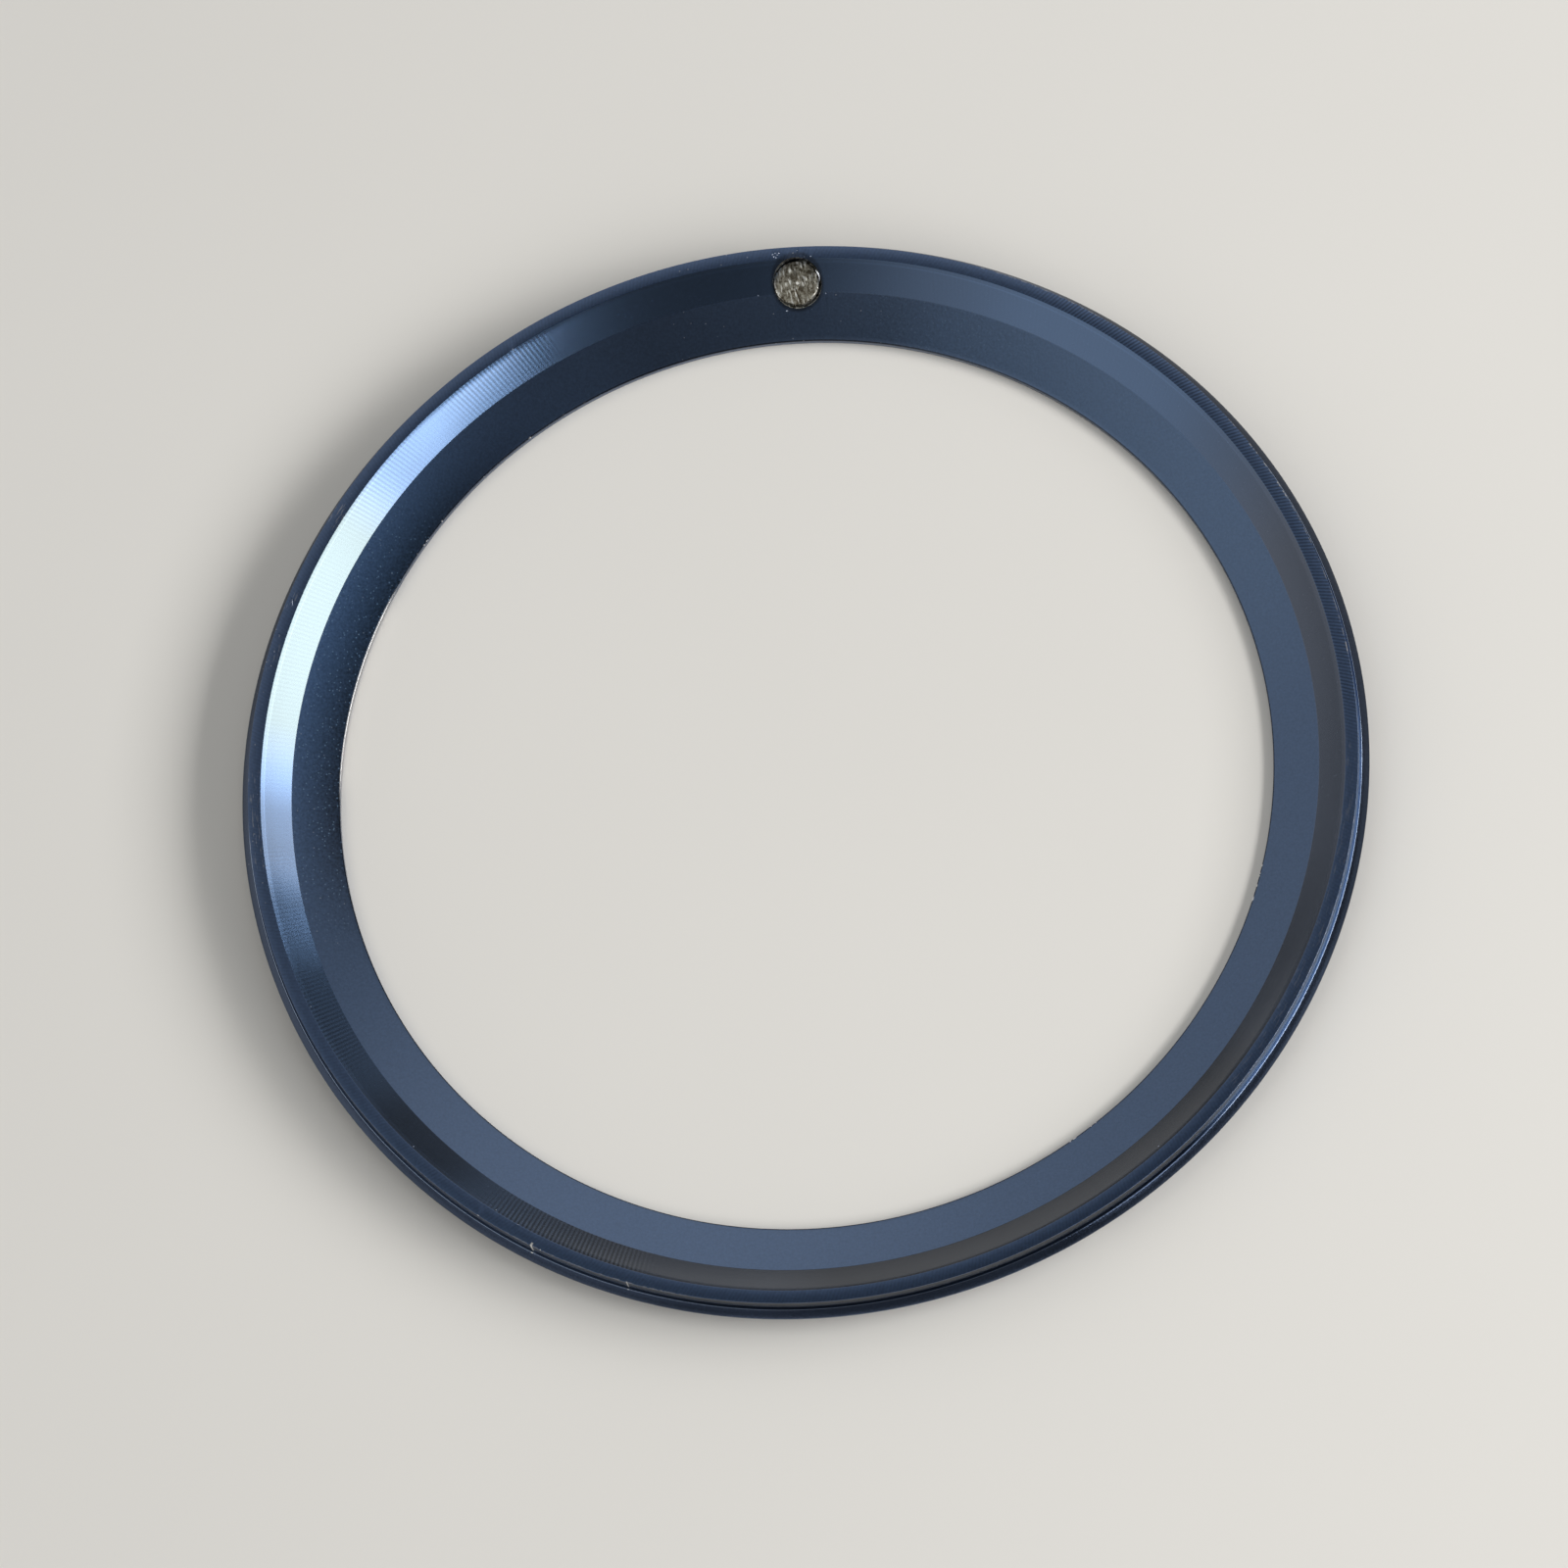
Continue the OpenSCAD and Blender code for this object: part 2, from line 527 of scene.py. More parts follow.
def joined(body: Object, tool: Object, how: Join) -> Object:
    """Cuts a body with a tool, or keeps only what both fill. Both are used up.

    Args:
        body: The shape that is worked on.
        tool: The shape that works on it.
        how: What is done.

    Returns:
        The new object, whose faces from the tool keep the tool's material.
    """
    step = body.modifiers.new("join", "BOOLEAN")
    step.operation = how.value
    step.solver = "MANIFOLD"
    step.material_mode = "TRANSFER"
    step.object = tool
    made = placed(body.name, settled(body))
    for used in (body, tool):
        bpy.data.objects.remove(used)
    return made


def finished(loose: Object, name: str) -> Object:
    """Turns a shape in millimetres into a finished piece of the insert.

    Args:
        loose: The shape, with its materials.
        name: Name of the piece.

    Returns:
        The piece, in metres, riding on the insert.
    """
    loose.name = name
    loose.data.name = name
    loose.data.transform(Matrix.Scale(MM, 4))
    loose.data.shade_smooth()
    loose.data.set_sharp_from_angle(angle=CREASE)
    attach(loose, "root")
    loose.data.calc_loop_triangles()
    log.info("%s: %d triangles", name, len(loose.data.loop_triangles))
    return loose


def outwards(bm: Shape) -> Shape:
    """Turns the normals of a closed shape outwards."""
    bmesh.ops.recalc_face_normals(bm, faces=bm.faces[:])
    return bm


def spun(bm: Shape, steps: int) -> Shape:
    """Spins an outline once round the upright axis.

    Args:
        bm: The outline's points and edges.
        steps: Number of steps round.

    Returns:
        The same mesh, with the faces that the outline sweeps.
    """
    bmesh.ops.spin(
        bm, geom=bm.verts[:] + bm.edges[:], cent=(0, 0, 0), axis=(0, 0, 1), dvec=(0, 0, 0),
        angle=2 * math.pi, steps=steps, use_merge=True,
    )
    return bm


def lathe(outline: Sequence[Span], steps: int) -> Shape:
    """Spins an outline from axis to axis into a closed shape.

    Args:
        outline: Radius and height of its points, the first and last on the axis.
        steps: Number of steps round.

    Returns:
        The closed shape, with its normals outwards.
    """
    bm = bmesh.new()
    points = [bm.verts.new((r, 0.0, z)) for r, z in outline]
    for pair in zip(points, points[1:]):
        bm.edges.new(pair)
    spun(bm, steps)
    bmesh.ops.remove_doubles(bm, verts=bm.verts[:], dist=MERGE)
    bmesh.ops.dissolve_degenerate(bm, edges=bm.edges[:], dist=MERGE / 10)
    return outwards(bm)


@dataclass(frozen=True)
class BareAluminium:
    """Fresh aluminium where the film is cut through."""

    name: str = "bare_aluminium"
    metal: RGB = (0.72, 0.73, 0.75)
    roughness: float = 0.38
    grain_scale: float = 22.0
    grain_depth: float = 0.002

    def material(self) -> Material:
        """Makes the material.

        Returns:
            The material.
        """
        surface = Surface(self.name)
        grain = surface.grain(surface.place, self.grain_scale, 3.0)
        surface.set(Metallic=1.0, Base_Color=(*self.metal, 1.0), Roughness=grain * 0.2 + self.roughness)
        surface.set(Normal=surface.bumped(grain, self.grain_depth))
        return surface.material


@dataclass(frozen=True)
class ScuffedFilm:
    """Film that is scraped thin in a small nick."""

    name: str = "scuffed_film"
    pale: RGB = (0.62, 0.67, 0.78)
    deep: RGB = (0.34, 0.38, 0.47)
    roughness: float = 0.45

    def material(self) -> Material:
        """Makes the material.

        Returns:
            The material.
        """
        surface = Surface(self.name)
        grain = surface.grain(surface.place, 18.0, 2.0)
        surface.set(
            Metallic=1.0, Base_Color=surface.blend(grain.rise(0.35, 0.6), self.deep, self.pale),
            Roughness=grain * 0.2 + self.roughness,
        )
        return surface.material


@dataclass(frozen=True)
class NavyAnodise:
    """Dyed oxide film over the turned ring, with its tool marks and wear.

    Painted light, shade, reflection, highlights and glints change how light the film is, tilts lean its normal by an
    angle in radians, and waves are the number of tool marks for each radian.
    """

    sizes: InsertSizes
    name: str = "navy_anodise"
    film: RGB = (0.057, 0.098, 0.188)
    steep_film: RGB = (0.061, 0.108, 0.196)
    cone_film: RGB = (0.065, 0.108, 0.194)
    # Greyer colour of the steep cone at some clocks, a painted reflection
    smoky_film: RGB = (0.069, 0.083, 0.113)
    # Darker colour of the lip, painted shade
    lip_film: RGB = (0.050, 0.068, 0.110)
    # Paler, less blue colour of the steep cone inside its brightest highlight, a painted highlight
    bleached_film: RGB = (0.063, 0.088, 0.095)
    # Pale colour of the lip's top edge, a painted highlight of its edge line
    edge_film: RGB = (0.50, 0.60, 0.78)
    # Colour of the lip's top edge where it is lit, in place of its painted highlight colour
    lit_edge_film: RGB = (0.085, 0.110, 0.160)
    # Pale colour of the painted highlight along the foot of the wall
    wall_film: RGB = (0.37, 0.54, 0.82)
    # Colour of the dust specks, and of the painted glints among them
    scuffed: RGB = (0.36, 0.39, 0.46)
    bare: RGB = (0.55, 0.54, 0.54)
    roughness: float = 0.30
    rim_roughness: float = 0.26
    wall_roughness: float = 0.50
    lip_roughness: float = 0.18
    coat: float = 0.55
    coat_roughness: float = 0.16
    coat_ior: float = 1.6
    flank_tilt: float = 0.09
    # Painted light and shade on the outer wall: a dark base level, lighter at some clocks
    wall_shade: float = 0.20
    wall_light: Arcs = (Arc(62, 132, 1.0, 14.0), Arc(196, 300, 0.30, 30.0))
    wall_glow: Arcs = (Arc(86, 132, 0.92, 12.0),)
    land_waves: int = 920
    rim_waves: int = 745
    chatter_tilt: float = 0.034
    land_shade: float = 0.48
    rim_shade: float = 0.44
    land_lean: float = -0.022
    rim_lean: float = 0.0115
    lip_waves: int = 900
    lip_tilt: float = 0.02
    edge_tilt: float = 0.75
    turned_tilt: float = 0.04
    line_depth: float = 0.10
    line_w: float = 0.02
    line_gain: float = 0.30
    grain_shade: float = 0.30
    grain_scale: float = 12.0
    grain_depth: float = 0.004
    bore_edge_w: float = 0.035
    # Painted shade along the bore's edge
    bore_edge_shade: float = 0.75
    smoky: Arcs = (Arc(56, 212, 1.0, 26.0),)
    bleached: Arcs = (Arc(274.5, 305.5, 1.0, 9.0),)
    # Painted light and shade on the steep cone, by clock
    rim_level: Arcs = (
        Arc(-5, 22, -0.15, 10.0), Arc(58, 106, 0.52, 18.0), Arc(126, 180, -0.40, 10.0), Arc(219, 233, -0.60, 9.0),
        Arc(250, 256, 0.45, 4.0), Arc(262, 270, -0.36, 5.0), Arc(313, 328, 0.42, 8.0), Arc(340, 366, -0.15, 10.0),
    )
    # Painted shade on the inner cone near twelve o'clock, and a painted gradient across it at some clocks, darker by
    # the bore and lighter outwards from its middle radius
    cone_level: Arcs = (Arc(-5, 14, -0.22, 10.0), Arc(338, 366, -0.22, 10.0))
    cone_fade: Arcs = (Arc(258, 318, 0.75, 26.0),)
    cone_middle_r: float = 16.75
    # Painted shadow round the pearl's hole: its centre, its reach and its strength
    pearl_y: float = 17.60
    pearl_reach: Span = (0.84, 0.95)
    pearl_shade: float = 0.45
    darkest: float = 0.1
    band_soft: float = 0.02
    mid_z: float = 0.13
    mid_slope: float = 0.27
    streak_gain: float = 0.45
    scratch_in_r: float = 18.58
    # Painted glints: pale specks on the inner cone where it mirrors the lamps, and coarser grain there
    sparkle: Arcs = (Arc(256, 306, 1.0, 14.0), Arc(8, 26, 0.2, 12.0))
    glitter: RGB = (0.19, 0.29, 0.42)
    glitter_specks: tuple[float, float, float] = (8.0, 0.27, 0.6)
    dust_specks: tuple[float, float, float] = (3.4, 0.11, 0.8)
    # Painted light and shade on the lip, by clock
    lip_level: Arcs = (Arc(30, 112, -0.42, 10.0), Arc(156, 188, 0.6, 8.0), Arc(228, 278, 0.32, 10.0))
    # Clocks where the lip's edge is lit: its normal is tilted there, and its colour is plainer than the painted
    # highlight
    lit_edge: Arcs = (Arc(90, 132, 1.0, 10.0),)
    land_floor: float = 0.12
    rim_floor: float = 0.05
    land_chatter: Arcs = (Arc(28, 87, 1.0, 8.0),)
    rim_chatter: Arcs = (
        Arc(198, 215, 1.4, 5.0), Arc(238, 262, 0.9, 6.0), Arc(271, 297, 0.12, 6.0), Arc(302, 314, 0.32, 5.0),
        Arc(319, 331, 0.7, 5.0),
    )
    crest_wear: Arcs = (
        Arc(19.5, 34, 0.40), Arc(51.2, 52.4, 0.8, 0.5), Arc(54.6, 56.4, 0.7, 0.5), Arc(57.6, 59.3, 0.9, 0.4),
        Arc(59.9, 62.3, 1.8, 0.4), Arc(63, 78.6, 0.34, 0.5), Arc(79.2, 81, 0.9, 0.6), Arc(98, 134, 0.14),
        Arc(193, 212, 0.28, 5.0),
    )
    land_streaks: Arcs = (
        Arc(90, 130, 0.25), Arc(262, 272, 0.8), Arc(283.5, 286.5, 0.5, 0.6), Arc(290.5, 292.5, 0.5, 0.6),
        Arc(300.5, 303.5, 0.8, 0.6),
    )
    # Bare edge of the bore at these clocks, worn and in part a painted highlight
    bore_wear: Arcs = (Arc(272, 297, 1.0, 5.0),)
    bore_specks: Arcs = (Arc(300, 332, 1.0, 4.0),)
    long_scratch: Arcs = (Arc(209.08, 209.30, 1.0, 0.05),)
    short_scratch: Arcs = (Arc(198.42, 198.58, 0.7, 0.05),)
    scratched: RGB = (0.86, 0.85, 0.82)
    # Dust near twelve o'clock, and painted glints on the left of the inner cone
    dusty: Arcs = (Arc(0, 9, 0.6, 4.0), Arc(252, 303, 0.45, 10.0), Arc(345, 365, 0.6, 4.0))

    def material(self) -> Material:
        """Makes the material."""
        return Film(self).painted()


class Film(Surface):
    """The navy film under construction, with masks that are 1 on a turned band of the ring and 0 elsewhere."""

    def __init__(self, look: NavyAnodise) -> None:
        """Finds the bands.

        Args:
            look: Sizes, colours and places of the film.
        """
        super().__init__(look.name)
        self.look, s, r, z, soft = look, look.sizes, self.r, self.z, look.band_soft
        top_z, lip_in_r, bore_out_r = s.overall_h, s.rim_wall_r + s.undercut_w, s.bore_r + look.bore_edge_w
        flank_in_r = lip_in_r + s.lip_top_w
        above_face = (z - (r - s.bore_r) * math.tan(s.face_slope)).rise(0.0, soft)
        self.on_back = (z - (r - s.bore_r) * look.mid_slope).rise(look.mid_z - soft / 2, look.mid_z + soft / 2)
        self.on_cone = r.band(s.bore_r + soft, s.cone_foot_r, soft) * self.on_back
        self.on_rim = r.band(s.cone_foot_r, s.land_in_r, soft) * self.on_back
        self.on_land = r.band(s.land_in_r, s.rim_wall_r, soft) * z.rise(top_z - 0.05, top_z - 0.02)
        self.on_wall = r.band(s.rim_wall_r - 0.01, s.rim_wall_r + 0.03, 0.01) * z.band(0.9, top_z - 0.04, soft)
        self.on_lip = r.rise(lip_in_r - soft, lip_in_r) * above_face
        self.on_lip_edge = r.band(lip_in_r, flank_in_r, 0.006) * z.rise(s.lip_top_z - 0.03, s.lip_top_z - 0.02)
        self.on_flank = r.rise(flank_in_r + 0.005, flank_in_r + 0.02)
        self.by_bore = 1 - r.rise(bore_out_r, bore_out_r + soft / 2)
        self.on_bore_edge = self.by_bore * z.rise(s.bore_wall_h - 0.05, s.bore_wall_h - 0.03)
        self.lit_edge = self.arcs(look.lit_edge) * self.on_lip_edge
        # 1 at the foot of the wall and 0 at its top
        self.low = 1 - ((z - s.lip_top_z) / (top_z - s.lip_top_z)).greatest(0.0).least(1.0)
        self.fine = self.grain(self.place, look.grain_scale, 2.0)
        self.land_cut, self.rim_cut = self.chatter()

    def chatter(self) -> tuple[Signal, Signal]:
        """Marks of the turning tool.

        Returns:
            The marks on the land and on the steep cone, as waves round 0.
        """
        look, from_land = self.look, self.r - self.look.sizes.land_in_r
        land_wave = ((self.clock + from_land * look.land_lean) * look.land_waves).sine()
        rim_wave = ((self.clock + from_land * look.rim_lean) * look.rim_waves).sine()
        slow = self.ring_grain(5.0, 0.6, 1.0)
        deeper = (self.r - look.sizes.cone_foot_r) * 0.6 + 0.45
        land_strength = self.arcs(look.land_chatter) * (1 - look.land_floor) + look.land_floor
        rim_strength = self.arcs(look.rim_chatter) * (1 - look.rim_floor) + look.rim_floor
        land_cut = self.on_land * land_strength * land_wave * (slow * 0.6 + 0.7)
        return land_cut, self.on_rim * rim_strength * rim_wave * deeper

    def normal(self) -> Socket:
        """The normal over tool marks, the tilted edge and flank of the lip, and fine grain.

        Returns:
            The normal.
        """
        look, turned = self.look, self.ring_grain(1.5, 9.0, 3.0, 0.6) - 0.5
        lip_wave = (self.clock * look.lip_waves).sine()
        round_tilt = (self.land_cut + self.rim_cut) * look.chatter_tilt + lip_wave * self.on_lip * look.lip_tilt
        out_tilt = turned * (self.on_rim + self.on_land + self.on_lip) * look.turned_tilt
        out_tilt = out_tilt + self.on_flank * look.flank_tilt + self.lit_edge * look.edge_tilt
        grained = self.on_back * 0.5 + 0.5 - self.on_rim * 0.8 - self.on_wall * 0.5
        return self.bumped(self.fine * grained, look.grain_depth, self.tilted(round_tilt, out_tilt))

    def wear(self) -> tuple[Signal, Signal]:
        """Places where the film is rubbed off or scratched through.

        Returns:
            Masks of the rubbed places, with a painted highlight on part of the bore's edge, and of the two scratches.
        """
        look, s, r, z = self.look, self.look.sizes, self.r, self.z
        broken = self.ring_grain(60.0, 3.0, 3.0, 0.7)
        scored = self.ring_grain(34.0, 16.0, 2.0, 0.6).rise(0.56, 0.66)
        crest_r, crest_z = s.rim_wall_r - 0.01, s.overall_h - 0.05
        crest = r.band(crest_r - 0.02, crest_r + 0.02, 0.015) * z.rise(crest_z, crest_z + 0.025)
        rubbed = crest * (broken.rise(0.42, 0.62) * (self.arcs(look.crest_wear) + 0.03)).least(1.0)
        rubbed = rubbed + scored * self.on_land * self.arcs(look.land_streaks) * look.streak_gain
        # Bare edge of the bore, worn and in part a painted highlight
        rubbed = rubbed + self.by_bore * z.rise(0.04, 0.06) * self.arcs(look.bore_wear) * broken.rise(0.25, 0.4)
        rubbed = rubbed + self.on_bore_edge * self.arcs(look.bore_specks) * broken.rise(0.6, 0.66)
        long = self.arcs(look.long_scratch) * r.rise(look.scratch_in_r - 0.01, look.scratch_in_r + 0.01)
        short = self.arcs(look.short_scratch) * r.rise(s.rim_wall_r - 0.03, s.rim_wall_r - 0.02)
        return rubbed, (long + short) * z.rise(0.95, 0.97) * (1 - self.on_flank)

    def shade(self) -> Signal:
        """How much lighter or darker the film is from place to place.

        Returns:
            The factor of its colour, which holds painted light and shade as well as tool marks and grain.
        """
        look, r = self.look, self.r
        # Painted light and shade on the wall, by clock and lighter towards its foot
        painted_wall_tone = (self.arcs(look.wall_light) + look.wall_shade) * (self.low * 0.8 + 0.6)
        line_r = look.sizes.land_in_r - look.line_depth
        line = r.band(line_r - look.line_w, line_r, 0.01) * self.on_rim
        # Grain of the film, coarser on the inner cone where its glints are painted
        mottled = self.arcs(look.sparkle) * self.on_cone * 1.8 + 1.4 - self.on_rim - self.on_wall
        # Painted shade along the bore's edge, and the wall's painted tone
        shade = self.on_wall * (painted_wall_tone - 1) - self.on_bore_edge * look.bore_edge_shade + 1
        # Painted light and shade on the steep cone, by clock
        shade = shade + self.on_rim * self.arcs(look.rim_level)
        shade = shade + self.land_cut * look.land_shade + self.rim_cut * look.rim_shade
        shade = shade + line * look.line_gain + (self.fine - 0.5) * mottled * look.grain_shade
        # Painted light and shade on the lip, by clock
        shade = shade + self.on_lip * self.arcs(look.lip_level)
        # Painted light and shade on the inner cone
        painted_gradient = (r - look.cone_middle_r) * self.arcs(look.cone_fade)
        shade = shade + self.on_cone * (self.arcs(look.cone_level) + painted_gradient)
        # Painted shadow round the pearl's hole
        painted_shadow_by_pearl = 1 - self.x.hypot(self.y - look.pearl_y).rise(*look.pearl_reach)
        return (shade - painted_shadow_by_pearl * self.on_back * look.pearl_shade).greatest(look.darkest)

    def dyed(self) -> Socket:
        """Colour of the film.

        Returns:
            The colour, without wear, with its painted reflection, highlights and glints.
        """
        look = self.look
        # Painted glints on the inner cone
        painted_glints = self.arcs(look.sparkle) * self.on_cone * 0.8 + self.on_cone * 0.03
        film = self.blend(self.on_cone, look.film, look.cone_film)
        # Painted reflection: a greyer tone on the steep cone at some clocks
        film = self.blend(self.on_rim, film, self.blend(self.arcs(look.smoky), look.steep_film, look.smoky_film))
        # Painted highlight: a paler tone where the steep cone mirrors the lamps
        film = self.blend(self.on_rim * self.arcs(look.bleached), film, look.bleached_film)
        # Darker lip colour, painted shade; then the whole film is scaled by its shade factor
        film = self.stretched(self.blend(self.on_lip, film, look.lip_film), self.shade())
        for mask, tint in (
            (self.specks(*look.glitter_specks) * painted_glints, look.glitter),
            # Painted highlight along the foot of the wall at some clocks
            (self.on_wall * self.arcs(look.wall_glow) * self.low ** 2.5, look.wall_film),
            # Painted highlight along the lip's top edge
            (self.on_lip_edge, look.edge_film),
            (self.lit_edge, look.lit_edge_film),
        ):
            film = self.blend(mask, film, tint)
        return film

    def painted(self) -> Material:
        """Puts the film, its dust and its wear together.

        Returns:
            The material, whose dust specks also paint glints on the left of the inner cone.
        """
        look, (rubbed, scratch) = self.look, self.wear()
        worn = rubbed.greatest(scratch).least(1.0)
        # Dust specks, which also paint glints on the left of the inner cone
        dust_and_glints = self.specks(*look.dust_specks) * (self.arcs(look.dusty) + 0.05) * (1 - self.on_rim)
        metal = self.blend(scratch, look.bare, look.scratched)
        rough = self.on_rim * (look.rim_roughness - look.roughness)
        rough = rough + self.on_wall * (look.wall_roughness - look.roughness)
        rough = rough + self.on_lip * (look.lip_roughness - look.roughness)
        self.set(
            Metallic=1.0,
            Base_Color=self.blend(worn, self.blend(dust_and_glints, self.dyed(), look.scuffed), metal),
            Roughness=rough + look.roughness + (self.fine - 0.5) * 0.06,
            Coat_Weight=(1 - worn) * (1 - self.on_lip) * look.coat,
            Coat_Roughness=look.coat_roughness,
            Coat_IOR=look.coat_ior,
            Normal=self.normal(),
        )
        return self.material


@dataclass(frozen=True)
class SetSteel:
    """Steel of the pearl's cup, rough where the stem was set with a punch."""

    name: str = "set_steel"
    # Pale colour of the strokes, also of the painted highlight and glint
    stroke: RGB = (0.94, 0.92, 0.85)
    light: RGB = (0.47, 0.44, 0.36)
    dark: RGB = (0.080, 0.064, 0.042)
    roughness: float = 0.42
    end_x: float = -0.05
    end_y: float = 17.60
    crack_from: Span = (-0.09, -0.16)
    crack_to: Span = (0.10, -0.66)
    # Painted glint in the punch mark: its x, y and radius
    dot: tuple[float, float, float] = (-0.012, 0.03, 0.06)
    # Radius of the painted highlight along the lower rim of the stem end
    rim_r: float = 0.70
    lean: float = math.radians(9)
    stroke_scale: float = 15.0
    stroke_stretch: float = 0.22
    stroke_depth: float = 0.012
    patches: tuple[tuple[float, float, float], ...] = ((-0.10, 0.27, 0.24), (0.09, -0.16, 0.17), (0.30, 0.35, 0.16))

    def material(self) -> Material:
        """Makes the material.

        Returns:
            The material.
        """
        surface = Surface(self.name)
        x, y = surface.x, surface.y - self.end_y
        across = x * math.cos(self.lean) + y * math.sin(self.lean)
        along = y * math.cos(self.lean) - x * math.sin(self.lean)
        streaked = surface.bundle(across, along * self.stroke_stretch, surface.z * self.stroke_stretch)
        strokes = surface.grain(streaked, self.stroke_scale, 2.0, 0.6)
        pits = surface.grain(surface.place, 9.0, 4.0, 0.65)
        stained: Operand = 0.0
        for patch_x, patch_y, reach in self.patches:
            off = (x - patch_x).hypot(y - patch_y) + (pits - 0.5) * 0.3
            stained = (1 - off.rise(reach * 0.35, reach)).greatest(stained)
        tone = (pits * 0.62 + strokes * 0.38).rise(0.38, 0.60)
        bright = strokes.rise(0.57, 0.64) * (1 - stained * 0.8)
        # Painted highlight along the lower rim of the stem end, broken by the pits
        rim = (x - self.end_x).hypot(y).rise(self.rim_r - 0.02, self.rim_r) * (1 - y.rise(-0.05, 0.25))
        # Painted glint in the punch mark
        dot_x, dot_y, dot_r = self.dot
        dot = 1 - (x - dot_x).hypot(y - dot_y).rise(dot_r * 0.8, dot_r)
        bright = bright.greatest(rim * pits.rise(0.40, 0.52) * 0.55)
        crack_l = math.dist(self.crack_from, self.crack_to)
        run_x, run_y = ((end - start) / crack_l for start, end in zip(self.crack_from, self.crack_to))
        from_x, from_y = x - self.crack_from[0], y - self.crack_from[1]
        down = (from_x * run_x + from_y * run_y).band(0.0, crack_l, 0.04)
        aside = abs(from_x * run_y - from_y * run_x + (pits - 0.5) * 0.08)
        crack = (1 - aside.rise(0.012, 0.045)) * down
        bright = (bright * (1 - crack)).greatest(dot)
        colour = surface.blend(tone * (1 - stained * 0.7) * (1 - crack), self.dark, self.light)
        surface.set(
            Metallic=1.0,
            Base_Color=surface.blend(bright, colour, self.stroke),
            Roughness=(1 - tone) * 0.2 + self.roughness,
            Normal=surface.bumped(strokes * 0.7 + pits * 0.3, self.stroke_depth),
        )
        return surface.material


@dataclass(frozen=True)
class LuminousPaint:
    """Pale green luminous filling."""

    name: str = "luminous_paint"
    pale: RGB = (0.66, 0.78, 0.60)
    deep: RGB = (0.58, 0.71, 0.52)

    def material(self) -> Material:
        """Makes the material.

        Returns:
            The material.
        """
        surface = Surface(self.name)
        grains = surface.grain(surface.place, 18.0, 3.0)
        surface.set(
            Base_Color=surface.blend(grains, self.deep, self.pale),
            Roughness=grains * 0.2 + 0.7,
            Normal=surface.bumped(grains, 0.004),
        )
        return surface.material


@dataclass(frozen=True)
class ClearLens:
    """Clear polished lens."""

    name: str = "clear_lens"
    tint: RGB = (0.97, 0.985, 0.98)

    def material(self) -> Material:
        """Makes the material.

        Returns:
            The material.
        """
        surface = Surface(self.name)
        wear = surface.grain(surface.place, 9.0, 2.0)
        surface.set(
            Base_Color=(*self.tint, 1.0), Roughness=wear * 0.03 + 0.02, Transmission_Weight=1.0, IOR=1.49,
        )
        return surface.material


@dataclass(frozen=True)
class ScaleEnamel:
    """Silver white enamel in the engraved marks."""

    name: str = "scale_enamel"
    high: RGB = (0.74, 0.74, 0.72)
    low: RGB = (0.64, 0.64, 0.625)

    def material(self) -> Material:
        """Makes the material.

        Returns:
            The material.
        """
        surface = Surface(self.name)
        cloud = surface.grain(surface.place, 5.0, 3.0)
        pits = surface.grain(surface.place, 30.0, 2.0)
        surface.set(
            Base_Color=surface.blend(cloud.rise(0.35, 0.65), self.low, self.high),
            Roughness=pits * 0.2 + 0.3,
            Coat_Weight=0.3,
            Normal=surface.bumped(cloud * 0.7 + pits * 0.3, 0.006),
        )
        return surface.material


@dataclass(frozen=True)
class PaleFloor:
    """Plain pale studio floor."""

    name: str = "pale_floor"
    light: RGB = (0.78, 0.755, 0.71)
    dark: RGB = (0.755, 0.73, 0.685)

    def material(self) -> Material:
        """Makes the material.

        Returns:
            The material.
        """
        surface = Surface(self.name)
        cloud = surface.grain(surface.place, 0.05, 2.0)
        surface.set(
            Base_Color=surface.blend(cloud, self.dark, self.light), Roughness=0.85, Specular_IOR_Level=0.2,
        )
        return surface.material


@dataclass(frozen=True)
class Nick:
    """A small dent that goes through the film, in millimetres and degrees, on the back unless it has its own z."""

    clock: float
    r: float
    length: float
    width: float = 0.05
    depth: float = 0.012
    turn: float = 0.0
    z: float | None = None


@dataclass(frozen=True)
class Corner:
    """A corner of the ring's section, and how far its rounding reaches along each side."""

    r: float
    z: float
    reach: float = 0.0


